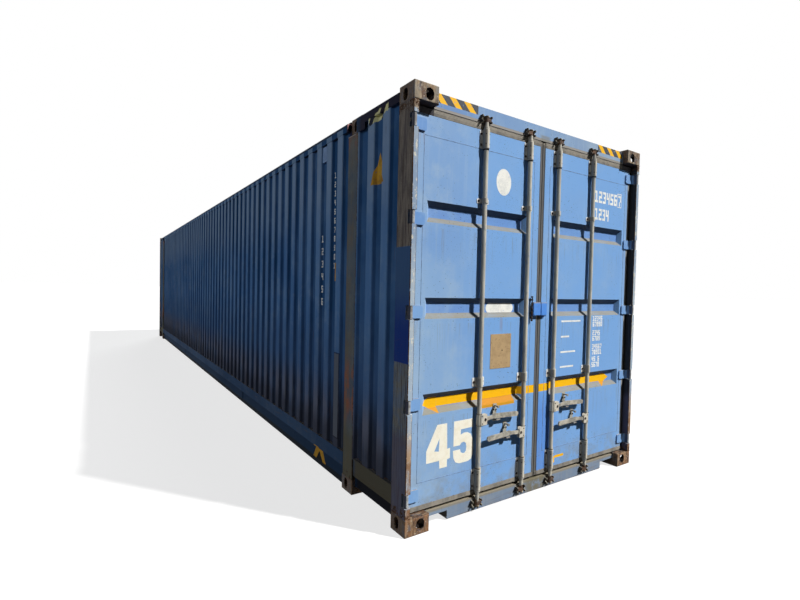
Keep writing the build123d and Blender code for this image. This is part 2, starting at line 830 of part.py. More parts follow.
def leaf_frame():
    """Tube frame of the right leaf, with two weep holes in its bottom rail."""
    t = LEAF_TUBE_WALL
    back = LEAF_FACE + LEAF_THICKNESS
    frame = leaf_box(0, LEAF_FACE, back) - leaf_opening(0, LEAF_FACE, back)
    frame -= leaf_box(t, LEAF_FACE + t, back - t) - leaf_opening(t, LEAF_FACE + t, back - t)
    middle = door_y(LEAF_FACE + LEAF_THICKNESS / 2)
    for x in (LEAF_INNER_EDGE + STILE_WIDTH, LEAF_OUTER_EDGE - STILE_WIDTH):
        frame -= Pos(x, middle, LEAF_BOTTOM) * Cylinder(WEEP_HOLE_RADIUS, 4 * LEAF_TUBE_WALL)
    return frame


def recess(height, extra):
    """Tapered form of one pressed recess, larger by the sheet where extra is given."""
    x0 = LEAF_INNER_EDGE + STILE_WIDTH + RECESS_INNER_MARGIN - extra
    x1 = LEAF_OUTER_EDGE - STILE_WIDTH - RECESS_OUTER_MARGIN + extra
    middle = (x0 + x1) / 2
    mouth = Rectangle(x1 - x0, RECESS_HEIGHT + 2 * extra)
    bed = Rectangle(x1 - x0 - 2 * RECESS_SLOPE, RECESS_HEIGHT + 2 * extra - 2 * RECESS_SLOPE)
    front = Plane(origin=(middle, door_y(LEAF_FACE), height), x_dir=(1, 0, 0), z_dir=(0, -1, 0))
    bed_y = door_y(LEAF_FACE + RECESS_DEPTH + extra)
    rear = Plane(origin=(middle, bed_y, height), x_dir=(1, 0, 0), z_dir=(0, -1, 0))
    return loft([front * mouth, rear * bed])


def leaf_panel():
    """Pressed sheet of the right leaf with its three recesses."""
    panel = leaf_opening(0, LEAF_FACE, LEAF_FACE + SHEET)
    for height in RECESS_LEVELS:
        panel += recess(height, SHEET)
    for height in RECESS_LEVELS:
        panel -= recess(height, 0)
    return panel


def leaf_gasket():
    """Sealing strip round the right leaf."""
    depth1 = GASKET_DEPTH + GASKET_THICKNESS
    strip = block(
        GASKET_INNER_EDGE,
        LEAF_OUTER_EDGE + GASKET_SIDE_LAP,
        door_y(GASKET_DEPTH),
        door_y(depth1),
        LEAF_BOTTOM - GASKET_FOOT_LAP,
        LEAF_TOP + GASKET_HEAD_LAP,
    )
    return strip - leaf_box(0, GASKET_DEPTH, depth1)


def leaf_hinges():
    """Hinge blades of the right leaf: barrel, joggled arm and plate on the stile."""
    pin = Pos(HALF_WIDTH - PIN_FROM_SIDE, door_y(PIN_DEPTH))
    seat = LEAF_FACE - PIN_DEPTH
    length = math.hypot(ARM_FOOT, seat)
    across_x = ARM_HALF_THICKNESS * seat / length
    across_y = ARM_HALF_THICKNESS * ARM_FOOT / length
    arm = outline(
        [
            (across_x, across_y),
            (-across_x, -across_y),
            (-ARM_FOOT - across_x, seat - across_y),
            (-ARM_FOOT + across_x, seat),
        ]
    )
    plate = outline(
        [
            (-ARM_FOOT, seat - HINGE_PLATE),
            (-ARM_FOOT, seat),
            (-HINGE_REACH, seat),
            (-HINGE_REACH, seat - HINGE_PLATE),
        ]
    )
    hinges = []
    for height in hinge_heights():
        z0 = height - HINGE_HEIGHT / 2
        z1 = height + HINGE_HEIGHT / 2
        blade = prism_up(pin * plate, z0, z1)
        far = HALF_WIDTH - PIN_FROM_SIDE - HINGE_REACH
        corners = [e for e in blade.edges().filter_by(Axis.Y) if e.center().X < far + 1]
        blade = fillet(corners, HINGE_CORNER_RADIUS)
        hinge = prism_up(pin * arm, z0, z1) + blade
        hinge += prism_up(pin * Circle(HINGE_BARREL_RADIUS), z0, z1)
        hinge -= prism_up(pin * Circle(PIN_RADIUS + PIN_CLEARANCE), z0, z1)
        hinges.append(hinge)
    return hinges


def guide(half_width, inner_radius, z0, z1):
    """Saddle over a bar at x = 0, with a round-cornered flange on each side against the leaf."""
    axis = Pos(0, door_y(BAR_DEPTH))
    reach = LEAF_FACE - BAR_DEPTH
    outer_radius = inner_radius + GUIDE_WALL
    legs = Pos(0, reach / 2) * Rectangle(2 * outer_radius, reach)
    flanges = Pos(0, reach - GUIDE_FLANGE / 2) * Rectangle(2 * half_width, GUIDE_FLANGE)
    hollow = Pos(0, reach / 2) * Rectangle(2 * inner_radius, reach)
    face = Circle(outer_radius) + legs + flanges - Circle(inner_radius) - hollow
    saddle = prism_up(axis * face, z0, z1)
    ends = [e for e in saddle.edges().filter_by(Axis.Y) if abs(e.center().X) > half_width - 1]
    return fillet(ends, BRACKET_CORNER_RADIUS)


def bar_guides():
    """Bar guides of the right leaf: long ones on the rails, brackets between."""
    snug = BAR_RADIUS + GUIDE_CLEARANCE
    rows = [
        (GUIDE_HALF_WIDTH, LEAF_BOTTOM + GUIDE_END_GAP, LEAF_BOTTOM + BOTTOM_RAIL_HEIGHT),
        (GUIDE_HALF_WIDTH, LEAF_TOP - TOP_RAIL_HEIGHT, LEAF_TOP - GUIDE_END_GAP),
    ]
    lower = RECESS_LEVELS[0] + RECESS_HEIGHT / 2 + LOWER_BRACKET_RISE
    upper = RECESS_LEVELS[-1] + RECESS_HEIGHT / 2 + UPPER_BRACKET_RISE
    for middle, height in ((lower, LOWER_BRACKET_HEIGHT), (upper, UPPER_BRACKET_HEIGHT)):
        rows.append((BRACKET_HALF_WIDTH, middle - height / 2, middle + height / 2))
    guides = []
    for offset in BAR_OFFSETS.values():
        for half_width, z0, z1 in rows:
            guides.append(Pos(offset, 0, 0) * guide(half_width, snug, z0, z1))
    return guides


def handle_side(side, place):
    """Direction in x from a bar to its handle's far end: outer bars point in, inner bars out."""
    return -SIDES[side] if place == "outer" else SIDES[side]


def handle_height(side, place):
    """Height of a handle's pivot."""
    return RECESS_LEVELS[0] - HANDLE_DROPS[side, place]


def catches(side):
    """Catches of one leaf: a back plate, the shelf under the handle and a hooked prong above it."""
    group = []
    half = CATCH_WIDTH / 2
    face = door_y(LEAF_FACE)
    front = door_y(SHELF_DEPTH)
    for place in BAR_OFFSETS:
        bar_x = SIDES[side] * BAR_OFFSETS[place]
        x = bar_x + handle_side(side, place) * (HANDLE_PIVOT + CATCH_FROM_PIVOT)
        z = handle_height(side, place)
        plate = block(x - half, x + half, face - CATCH_PLATE, face, z - CATCH_BELOW, z + CATCH_ABOVE)
        plate = fillet(plate.edges().filter_by(Axis.Y), CATCH_PLATE)
        shelf_top = z - SHELF_DROP
        plate += block(x - half, x + half, front, face, shelf_top - SHELF_THICKNESS, shelf_top)
        prong_top = z + PRONG_RISE + 2 * SHELF_THICKNESS
        plate += block(
            x - half / 2, x + half / 2, front, face, prong_top - SHELF_THICKNESS, prong_top
        )
        plate += block(
            x - half / 2, x + half / 2, front, front + PRONG_LIP, z + PRONG_RISE, prong_top
        )
        group.append(plate)
    return group


def cam(direction, z):
    """Cam lobe on a bar at the origin of the plan."""
    tip = direction * CAM_REACH
    lobe = outline(
        [
            (0, -BAR_END_RADIUS),
            (tip, -CAM_HALF_WIDTH),
            (tip, CAM_HALF_WIDTH),
            (0, BAR_END_RADIUS),
        ]
    )
    return prism_up(lobe, z, z + CAM_HEIGHT)


def locking_bar(side, place):
    """One locking bar with collars, cams and the hub for its handle."""
    direction = handle_side(side, place)
    height = handle_height(side, place)
    guide_low = LEAF_BOTTOM + GUIDE_END_GAP
    guide_high = LEAF_TOP - GUIDE_END_GAP
    bar = prism_up(Circle(BAR_END_RADIUS), BAR_BOTTOM, BAR_TOP)
    bar += prism_up(Circle(BAR_RADIUS), guide_low - 2 * COLLAR_HEIGHT, guide_high + 2 * COLLAR_HEIGHT)
    for z in (guide_low - COLLAR_HEIGHT - 1, guide_high + 1):
        bar += prism_up(Circle(COLLAR_RADIUS), z, z + COLLAR_HEIGHT)
    bar += cam(direction, BAR_BOTTOM + CAM_FROM_END)
    bar += cam(direction, BAR_TOP - CAM_FROM_END - CAM_HEIGHT)
    low = height - HUB_HEIGHT / 2
    high = height + HUB_HEIGHT / 2
    slot_front = HANDLE_DEPTH - HUB_GAP - BAR_DEPTH
    slot_back = HANDLE_DEPTH + HANDLE_THICKNESS + HUB_GAP - BAR_DEPTH
    hub_end = direction * (HANDLE_PIVOT + HUB_EDGE)
    ends = sorted((0, hub_end))
    hub = block(*ends, slot_front - HUB_PLATE, slot_back + HUB_PLATE, low, high)
    hub += prism_up(Circle(COLLAR_RADIUS), low, high)
    ends = sorted((direction * HUB_SLOT_START, hub_end))
    hub -= block(*ends, slot_front, slot_back, low, high)
    bar += hub
    bolt = Pos(direction * HANDLE_PIVOT, height) * Circle(PIVOT_RADIUS)
    bar += prism_along(bolt, slot_front, slot_back)
    return Pos(SIDES[side] * BAR_OFFSETS[place], door_y(BAR_DEPTH), 0) * bar


def handle(side, place):
    """One handle: round root on its pivot, narrow arm, and a wider grip after the bend."""
    direction = handle_side(side, place)
    arm = HANDLE_ARM_WIDTH / 2
    grip = HANDLE_WIDTH / 2
    bend_x = direction * HANDLE_BEND
    tip_x = direction * HANDLE_LENGTH
    rise = HANDLE_BEND_RISE
    face = Circle(HANDLE_ROOT_RADIUS)
    face += outline([(0, -arm), (bend_x, rise - arm), (bend_x, rise + arm), (0, arm)])
    face += Pos(bend_x, rise) * Circle(grip)
    face += outline([(bend_x, rise - grip), (tip_x, -grip), (tip_x, grip), (bend_x, rise + grip)])
    face += Pos(tip_x, 0) * Circle(grip)
    face -= Circle(PIVOT_RADIUS + PIN_CLEARANCE)
    pivot_x = SIDES[side] * BAR_OFFSETS[place] + direction * HANDLE_PIVOT
    place_at = Pos(pivot_x, handle_height(side, place))
    y0 = door_y(HANDLE_DEPTH)
    return prism_along(place_at * face, y0, y0 + HANDLE_THICKNESS)


def lap_plate(side):
    """Half of the plate across the joint of the doors, on its own leaf."""
    z0 = RECESS_LEVELS[1] - LAP_BOTTOM_DROP
    front = door_y(LEAF_FACE - LAP_STANDOFF - LAP_THICKNESS)
    back = front + LAP_THICKNESS
    face = door_y(LEAF_FACE)
    near = GASKET_INNER_EDGE
    if side == "left":
        far = LAP_LEFT_REACH
        foot_end = far - LAP_FOOT
        foot_start = foot_end - LAP_SPACER
        points = [
            (-near, front),
            (-near, back),
            (-foot_start, back),
            (-foot_start, face),
            (-foot_end, face),
            (-foot_end, back),
            (-far, back),
            (-far, front),
        ]
    else:
        far = LAP_RIGHT_REACH
        foot = far - LAP_FOOT
        bend = foot - LAP_JOGGLE + LAP_FOOT
        points = [
            (near, front),
            (near, back),
            (bend, back),
            (foot - LAP_THICKNESS, face),
            (far, face),
            (far, face - LAP_THICKNESS),
            (foot, face - LAP_THICKNESS),
            (bend + LAP_THICKNESS, front),
        ]
    return prism_up(outline(points), z0, z0 + LAP_HEIGHT)


def leaf_parts(side):
    """Pieces of one door leaf by node name."""
    right = {
        "frame": [leaf_frame()],
        "panel": [leaf_panel()],
        "gasket": [leaf_gasket()],
        "hinges": leaf_hinges(),
        "bar_guides": bar_guides(),
    }
    if side == "left":
        right = {name: [other_side(part) for part in parts] for name, parts in right.items()}
    right["handle_catches"] = catches(side)
    right["lap_plate"] = [lap_plate(side)]
    return {f"{side}_door_{name}": parts for name, parts in right.items()}


def build():
    """All nodes of the container."""
    corner = four_castings(casting(HALF_WIDTH), casting(HALF_WIDTH))
    nodes = {
        "corner_castings": corner + [other_end(part) for part in corner],
        "intermediate_castings": inner_castings(),
        "front_posts": front_posts(),
        "intermediate_posts": inner_posts(),
        "hinge_pins": hinge_pins(),
        "door_header": [door_header()],
        "door_sill": [door_sill()],
        "front_beams": front_beams(),
        "overhang_rails": overhang_rails(),
        "front_wall": [front_wall()],
        "roof": [roof()],
        "floor_boards": [floor_boards()],
        "cross_members": cross_members(),
        "cam_keepers": cam_keepers(),
        "side_vents": vents(),
    }
    one_side = {
        "door_post": [door_post()],
        "bottom_rail": [bottom_rail()],
        "top_rail": top_rail(),
        "side_wall": side_wall(),
    }
    for name, parts in one_side.items():
        nodes[f"right_{name}"] = parts
        nodes[f"left_{name}"] = [other_side(part) for part in parts]
    for side in SIDES:
        nodes.update(leaf_parts(side))
        for place in BAR_OFFSETS:
            nodes[f"{side}_{place}_bar"] = [locking_bar(side, place)]
            nodes[f"{side}_{place}_handle"] = [handle(side, place)]
    return nodes


def write(nodes):
    """One file for each node."""
    os.makedirs("parts", exist_ok=True)
    for name, parts in nodes.items():
        solids = [solid for part in parts for solid in part.solids()]
        export_step(Compound(children=solids), f"parts/{name}.step")


write(build())
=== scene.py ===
import math
import random
import re

import bmesh
import bpy
from mathutils import Matrix, Vector


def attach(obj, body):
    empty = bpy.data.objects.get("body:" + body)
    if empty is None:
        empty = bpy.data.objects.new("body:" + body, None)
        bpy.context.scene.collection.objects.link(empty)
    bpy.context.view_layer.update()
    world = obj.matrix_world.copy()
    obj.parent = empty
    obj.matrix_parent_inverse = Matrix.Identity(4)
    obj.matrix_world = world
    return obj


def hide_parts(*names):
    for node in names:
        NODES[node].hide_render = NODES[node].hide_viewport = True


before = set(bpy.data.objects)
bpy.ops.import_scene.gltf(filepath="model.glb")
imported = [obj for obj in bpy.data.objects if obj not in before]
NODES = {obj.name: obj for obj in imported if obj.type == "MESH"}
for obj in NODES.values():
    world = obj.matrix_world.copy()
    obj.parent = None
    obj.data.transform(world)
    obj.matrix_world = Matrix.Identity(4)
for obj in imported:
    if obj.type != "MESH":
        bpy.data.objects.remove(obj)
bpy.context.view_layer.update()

MM = 0.001
DOOR_END = -6.858
SIDES = {"left": -1, "right": 1}
BARS = {"outer": 615.0, "inner": 167.0}
GUIDE_ROWS = ((163, 312), (2592, 2721), (907.9, 971.9), (2208, 2242))
HANDLE_HEIGHTS = {
    ("left", "outer"): 669.9,
    ("left", "inner"): 519.9,
    ("right", "inner"): 667.9,
    ("right", "outer"): 516.9,
}
HINGE_HEIGHTS = [236 + 604 * n for n in range(5)]
CREST = 1248.0  # mm from the middle to the crests of the side walls
LEAF_DEPTH = 60.0  # mm from the door end to the face of the leaves
BAR_DEPTH = 35.0  # mm from the door end to the middle of the bars
RECESS_DEPTH = 96.0  # mm from the door end to the floor of a recess
TUBE = 17.5  # mm, radius of the bars
HUB = 20.5  # mm, radius of the handle hubs on the bars
GUIDE_BOLT = 13.0  # mm across the flats of the heads on the bar guides
CATCH_BOLT = 9.0  # mm, the same on the handle catches
CORNERS = 0.577  # radius over the corners of a hexagon that is 1 across its flats
BURIED = -0.3  # mm, how deep a painted mark reaches into its face
PAINT = 0.55  # mm, how far it stands out
DOOR_OUT = (0, -1, 0)
rng = random.Random(45)

# colours are written as 0 to 255 values
RUST_DARK = (54, 42, 36)
RUST_MID = (100, 74, 56)
RUST_LIGHT = (148, 116, 88)
DUST = (190, 178, 152)
SOOT = (44, 46, 50)
YELLOW = (250, 190, 24)
DOOR_BASE = (141, 176, 216)
DOOR_PALE = (162, 188, 213)
DOOR_DEEP = (122, 162, 214)
SIDE_BASE = (98, 138, 190)
SIDE_PALE = (128, 158, 194)
SIDE_DEEP = (80, 122, 178)
SIDE_NAVY = (36, 76, 122)


def add_node(tree, kind, inputs, output=0, **settings):
    """A new node, its inputs given as numbers, vectors or Values; returns one output."""
    node = tree.nodes.new("ShaderNode" + kind)
    for name, setting in settings.items():
        setattr(node, name, setting)
    for name, value in inputs.items():
        if isinstance(value, Value):
            tree.links.new(value.socket, node.inputs[name])
        else:
            node.inputs[name].default_value = value
    if node.outputs:
        return Value(tree, node.outputs[output])


class Value:
    """A number in a node tree, with arithmetic: | gives the larger of two, & the smaller."""

    def __init__(self, tree, socket):
        self.tree = tree
        self.socket = socket

    def math(self, operation, *values):
        return add_node(self.tree, "Math", dict(enumerate(values)), operation=operation)

    def __abs__(self):
        return self.math("ABSOLUTE", self)

    def sign(self):
        return self.math("SIGN", self)

    def split(self):
        node = self.tree.nodes.new("ShaderNodeSeparateXYZ")
        self.tree.links.new(self.socket, node.inputs[0])
        return [Value(self.tree, socket) for socket in node.outputs]

    def ramp(self, low, high, to_low=0.0, to_high=1.0):
        """A smooth step between two levels."""
        inputs = {"Value": self, "From Min": low, "From Max": high, "To Min": to_low, "To Max": to_high}
        return add_node(self.tree, "MapRange", inputs, interpolation_type="SMOOTHSTEP")

    def band(self, low, high, soft=0.001):
        """1 between two levels, 0 outside, with soft limits."""
        return self.ramp(low - soft, low + soft) * self.ramp(high + soft, high - soft)

    def wave(self, pitch, offset=0.0):
        """0 to 1 to 0 once in each pitch."""
        phase = (self - offset) * (2 * math.pi / pitch)
        return 0.5 + 0.5 * self.math("SINE", phase)


OPERATORS = {
    "add": "ADD", "sub": "SUBTRACT", "mul": "MULTIPLY", "mod": "MODULO", "or": "MAXIMUM", "and": "MINIMUM",
}
for name, kind in OPERATORS.items():
    setattr(Value, f"__{name}__", lambda one, other, kind=kind: one.math(kind, one, other))
    setattr(Value, f"__r{name}__", lambda one, other, kind=kind: one.math(kind, other, one))


def linear(colour):
    """A written colour as the nodes take it; a Value stays as it is."""
    if isinstance(colour, Value):
        return colour
    shares = [value / 255 for value in colour]
    return [s / 12.92 if s <= 0.04045 else ((s + 0.055) / 1.055) ** 2.4 for s in shares] + [1.0]


class Look:
    """A node material painted coat by coat, by place on the object in metres."""

    def __init__(self, name, specular, metallic=0.0):
        self.material = bpy.data.materials.new(name)
        self.material.use_nodes = True
        self.tree = self.material.node_tree
        self.tree.nodes.clear()
        self.surface = {"Metallic": metallic, "Specular IOR Level": specular}
        coord = self.tree.nodes.new("ShaderNodeTexCoord")
        self.point = Value(self.tree, coord.outputs["Object"])
        self.x, self.y, self.z = self.point.split()
        self.nx, self.ny, self.nz = Value(self.tree, coord.outputs["Normal"]).split()
        self.side = abs(self.x)
        self.depth = -DOOR_END - abs(self.y)
        self.behind = self.y - DOOR_END
        self.outward = self.nx * self.x.sign()
        self.on_top = self.nz.ramp(0.4, 0.9)
        self.on_left = self.x.ramp(-1.2, -1.21)
        self.height = 0.0

    def patch(self, x0, x1, z0, z1):
        return self.x.band(x0, x1) * self.z.band(z0, z1)

    def side_patch(self, u0, u1, v0, v1, ragged=0.008):
        """A patch on the left side: u behind the door end, v up, in metres."""
        wander = (self.noise(30, u0 + v0, 4) - 0.5) * (ragged * 4)
        along = (self.behind + wander).band(u0, u1, 0.002)
        return along * (self.z + wander).band(v0, v1, 0.002) * self.on_left

    def noise(self, scale, seed, detail=5, rough=0.7, stretch=(1, 1, 1)):
        shift = (seed * 3.7, seed * 1.3, seed * 2.1)
        point = add_node(self.tree, "Mapping", {"Vector": self.point, "Scale": stretch, "Location": shift})
        inputs = {"Vector": point, "Scale": scale, "Detail": detail, "Roughness": rough}
        return add_node(self.tree, "TexNoise", inputs, "Fac")

    def mix(self, share, first, second):
        inputs = {0: share, 6: linear(first), 7: linear(second)}
        return add_node(self.tree, "Mix", inputs, 2, data_type="RGBA")

    def coat(self, tint, share):
        """Covers the colour so far with a tint, where the share is high."""
        self.colour = self.mix(share, self.colour, tint)

    def stain(self, tint, share, levels, *noise, **shape):
        """Spots or streaks of a tint, where a noise rises between two levels."""
        self.coat(tint, self.noise(*noise, **shape).ramp(*levels) * share)

    def tones(self, first, second, levels, *noise, **shape):
        """Starts with two colours that change with a noise, and returns the noise."""
        tone = self.noise(*noise, **shape)
        self.colour = self.mix(tone.ramp(*levels), first, second)
        return tone

    def lift(self, *heights):
        """Adds to the bump height, in metres."""
        self.height = sum(heights, self.height)

    def rust(self, seed):
        """Rust that changes from dark to light brown over a few millimetres."""
        coarse = self.noise(26, seed + 4).ramp(0.35, 0.65)
        fine = self.noise(160, seed + 9, 4).ramp(0.55, 0.75, 0, 0.7)
        return self.mix(fine, self.mix(coarse, RUST_DARK, RUST_MID), RUST_LIGHT)

    def sheet(self, base, pale, deep, streaks, dents):
        """Aged paint on sheet: broad fading, vertical runs, dents."""
        self.colour = self.mix(self.noise(0.8, 1, 3, 0.6).ramp(0.35, 0.65), base, deep)
        self.coat(pale, self.noise(4.5, 2, 5, 0.65).ramp(0.45, 0.72, 0, 0.55))
        self.coat(pale, self.noise(9, 3, stretch=(3.2, 3.2, 0.16)).ramp(0.5, 0.72, 0, streaks))
        self.coat(deep, self.noise(12, 8, stretch=(4, 4, 0.12)).ramp(0.56, 0.78, 0, streaks))
        self.lift(self.noise(1.6, 5, 2, 0.5) * dents, self.noise(420, 6, 2, 0.5) * 0.00003)

    def speckle(self, amount, size, seed, stain=SOOT):
        """Small dark spots of soot or rust, gathered in patches."""
        shift = (seed * 2.9, seed * 1.7, seed)
        point = add_node(self.tree, "Mapping", {"Vector": self.point, "Location": shift})
        cells = add_node(self.tree, "TexVoronoi", {"Vector": point, "Scale": size}, "Distance")
        where = self.noise(3, seed + 1, 4, 0.6).ramp(0.46, 0.6)
        self.coat(stain, cells.ramp(0.17, 0.07) * where * amount)

    def wear(self, mask, seed, level):
        """Paint lost to rust where the mask is high, with a ragged outline."""
        bare = (mask * 0.45 + self.noise(38, seed, 6, 0.75)).ramp(level + 0.36, level + 0.42)
        self.lift(bare * -0.0004, bare * self.noise(300, seed + 5, 3, 0.55) * 0.0003)
        self.coat(self.rust(seed), bare)
        return bare

    def finish(self, rough):
        bump = add_node(self.tree, "Bump", {"Strength": 1.0, "Distance": 1.0, "Height": self.height})
        inputs = {**self.surface, "Roughness": rough, "Base Color": self.colour, "Normal": bump}
        add_node(self.tree, "OutputMaterial", {"Surface": add_node(self.tree, "BsdfPrincipled", inputs)})
        return self.material


def door_leaf(name, side):
    """Sun-bleached paint of a door leaf, with its band, arrow and plain marks."""
    look = Look(name, 0.1)
    sign = SIDES[side]
    look.sheet(DOOR_BASE, DOOR_PALE, DOOR_DEEP, 0.35, 0.003)
    top = look.z.ramp(1.7, 2.7, 0, 0.35)
    look.coat(DOOR_PALE, top * look.noise(6, 12, 4, 0.55))
    middle = look.x.ramp(-0.95, -0.4) * look.noise(2.4, 17, 4, 0.6).ramp(0.25, 0.6, 0.45, 0.9)
    look.coat((122, 170, 227), middle)
    floor = look.depth.ramp(0.086, 0.093) * look.noise(5, 18, 4).ramp(0.3, 0.6, 0.3, 0.75)
    look.coat((104, 144, 208), floor)
    look.coat(DOOR_PALE, look.side.ramp(1.06, 1.17, 0, 0.3))
    if side == "right":
        fresh = look.x.ramp(0.3, 0.12) * look.z.ramp(0.95, 0.6)
        look.coat((86, 140, 222), fresh * 0.75)
    else:
        under = look.x.band(-0.413, -0.386, 0.008) * look.z.band(1.3, 1.41, 0.03)
        look.coat(RUST_LIGHT, under * 0.3)
    low = look.z.ramp(0.5, 0.18, 0, 0.45)
    grime = look.noise(7, 14)
    look.coat((140, 140, 132), low * grime.ramp(0.4, 0.65))
    # dust on the upward slopes of the recesses; the downward ones are painted dark navy, a painted shade
    up = look.nz.ramp(0.3, 0.8)
    settled = look.noise(16, 13, stretch=(0.6, 1, 1))
    look.coat((136, 130, 110), up * settled.ramp(0.3, 0.62, 0.82, 0.98))
    down = look.nz.ramp(-0.3, -0.7)
    look.coat((24, 32, 54), down * 0.85)
    # dirt runs under the recess ledges and the guides
    for level in (0.7219, 1.3619, 1.998):
        fall = look.z.ramp(level - 0.3, level) * look.z.ramp(level + 0.004, level)
        runs = look.noise(26, level, 4, stretch=(2.2, 2.2, 0.09)).ramp(0.52, 0.74)
        look.coat((122, 128, 132), fall * runs * 0.5)
    for place in BARS.values():
        near = look.x.band(sign * place * MM - 0.07, sign * place * MM + 0.07, 0.03)
        runs = look.noise(40, place, 4, stretch=(2, 2, 0.08)).ramp(0.48, 0.7)
        look.coat((126, 122, 112), near * runs * 0.28)
    for height in HINGE_HEIGHTS:
        level = height * MM
        drip = look.side.ramp(1.09, 1.13) * look.z.ramp(level - 0.24, level - 0.02)
        drip *= look.z.ramp(level + 0.01, level - 0.01)
        runs = look.noise(34, height, 4, stretch=(2, 2, 0.1)).ramp(0.5, 0.72)
        look.coat(RUST_LIGHT, drip * runs * 0.6)
    # seams of the panel in its frame
    upright = look.side.band(1.1225, 1.1275, 0.0012) | look.side.band(0.0875, 0.0925, 0.0012)
    level = look.z.band(2.5895, 2.5945, 0.0012) | look.z.band(0.3095, 0.3145, 0.0012)
    seam = upright * look.z.band(0.31, 2.594, 0.002) | level * look.side.band(0.09, 1.125, 0.002)
    broken = look.noise(22, 31, 3).ramp(0.42, 0.55)
    look.coat((60, 66, 76), seam * broken * 0.55)
    look.speckle(0.95, 90, 21)
    look.speckle(0.85, 42, 23, RUST_DARK)
    # yellow band and arrow head on the lowest recess
    band = look.z.band(0.7975, 0.859, 0.001)
    if side == "left":
        head = look.x + 1.096
        stop = look.x.ramp(-0.9575, -0.9565) * look.x.ramp(0.01, 0)
    else:
        head = 1.003 - look.x
        stop = look.x.ramp(0.9, 0.899) * look.x.ramp(-0.01, 0)
    arrow = (head * 0.52 - abs(look.z - 0.828)).ramp(-0.001, 0.001) * head.ramp(0.14, 0.138)
    arrow *= head.ramp(-0.001, 0.001) * look.z.ramp(0.866, 0.862)
    marks = band * stop | arrow
    lower = 0
    if side == "left":
        lower = look.patch(-0.582, -0.241, 0.738, 0.798)
        marks |= lower
    else:
        marks |= look.patch(0.212, 0.246, 0.186, 0.236) | look.patch(0.246, 0.36, 0.222, 0.243)
    flaked = look.noise(48, 41, 6, 0.75).ramp(0.68, 0.71)
    marks *= 1 - flaked * 0.8
    tint = look.mix(look.noise(20, 42, 4, 0.55).ramp(0.5, 0.75, 0, 0.35), YELLOW, (222, 164, 40))
    tint = look.mix(lower * 0.8, tint, (198, 142, 48))
    # painted shade: the yellow is painted darker orange where it faces up, against the stronger light there
    tint = look.mix(look.nz.ramp(0.25, 0.5) * 0.85, tint, (192, 130, 40))
    look.coat(tint, marks)
    if side == "right":
        # the seal's dusty lip shows along the hinged edge
        strip = look.x.ramp(1.163, 1.165) * look.z.band(0.19, 2.69, 0.004)
        look.coat((150, 147, 138), strip * 0.9)
        look.coat((90, 96, 104), look.x.band(1.1595, 1.1635, 0.001) * 0.5)
    # worn paint on the foot and the free edges of the leaf
    edge = look.z.ramp(0.172, 0.16) * 0.8 | look.z.ramp(2.718, 2.724) * 0.6
    edge |= look.side.ramp(1.178, 1.185) * 0.7 | look.side.ramp(0.036, 0.03) * 0.5
    bare = look.wear(edge, 51, 0.56)
    return look.finish(0.5 + look.noise(30, 61, 4, 0.55) * 0.16 + bare * 0.25)


def hinge_paint():
    """Leaf paint on the hinge blades, rusty at the barrel, dusty on top, with painted shade on the barrels
    where they do not face the front and on the faces toward the post.
    """
    look = Look("hinge_paint", 0.2)
    look.sheet((126, 168, 218), (152, 184, 216), (106, 150, 208), 0.4, 0.001)
    barrel = look.side.ramp(1.208, 1.216)
    # painted shade: the barrels are dark navy except where they face the front
    facing = look.ny.ramp(-0.55, -0.85)
    cream = look.mix(look.noise(30, 6).ramp(0.4, 0.6), (176, 176, 172), (128, 120, 108))
    round_part = look.mix(facing, (30, 36, 58), cream)
    look.coat(round_part, barrel * 0.9)
    # painted shade: faces toward the post, by the barrels, are painted near black
    look.coat((22, 26, 44), look.outward.ramp(0.3, 0.6) * look.side.ramp(1.19, 1.2))
    look.coat((176, 160, 134), look.on_top * 0.8)
    look.speckle(0.5, 80, 5, RUST_MID)
    return look.finish(0.55 + look.wear(look.side.band(1.11, 1.12, 0.003) * 0.35, 15, 0.58) * 0.3)


def lap_paint():
    """Bright blue on the lap plate, dusty along its top, chipped at its rims."""
    look = Look("lap_paint", 0.2)
    look.sheet((84, 144, 226), (118, 166, 226), (64, 124, 214), 0.3, 0.001)
    grime = look.noise(36, 3).ramp(0.56, 0.7)
    look.coat((92, 112, 140), grime * 0.4)
    look.coat((196, 182, 154), look.on_top * 0.8)
    top = look.z.ramp(1.5, 1.508)
    look.coat((186, 172, 142), top * grime.ramp(0, 0.4, 0.5, 0.9))
    rim = look.z.ramp(1.416, 1.411) | look.side.ramp(0.012, 0.006)
    bare = look.wear(rim * 0.6, 9, 0.56)
    look.speckle(0.6, 100, 15, RUST_MID)
    return look.finish(0.48 + bare * 0.3)


def header_paint():
    """Header with hazard stripes near each casting, flaked on top."""
    look = Look("header_paint", 0.2)
    look.sheet((124, 158, 200), (150, 176, 202), (104, 140, 192), 0.5, 0.003)
    look.coat((168, 184, 192), look.x.ramp(-0.2, 0.9) * 0.5)
    bars = (look.x + look.z * 0.95).wave(0.125, 1.672).ramp(0.54, 0.6)
    zone = (look.x.band(-1.03, -0.68) | look.x.band(0.69, 1.048)) * look.z.band(2.8185, 2.9)
    flaked = look.noise(40, 3, 6, 0.75).ramp(0.58, 0.64)
    zone *= look.depth.ramp(0.08, 0.07)
    stripe = look.mix(bars, (66, 70, 78), YELLOW)
    look.coat(stripe, zone * (1 - flaked * 0.7))
    look.coat(DUST, look.on_top * 0.6)
    look.speckle(0.95, 48, 7, RUST_DARK)
    # the lip under the header is as dusty as the seal below it
    lip = look.z.ramp(2.7885, 2.7875)
    look.coat((150, 144, 134), lip * 0.92)
    smear = look.x.band(-0.035, 0.07, 0.02) * look.z.ramp(2.822, 2.806)
    look.coat((128, 128, 122), smear * 0.7)
    edge = look.z.ramp(2.87, 2.88) * 0.8 | look.side.ramp(1.04, 1.06) * 0.6
    return look.finish(0.52 + look.wear(edge, 25, 0.54) * 0.3)


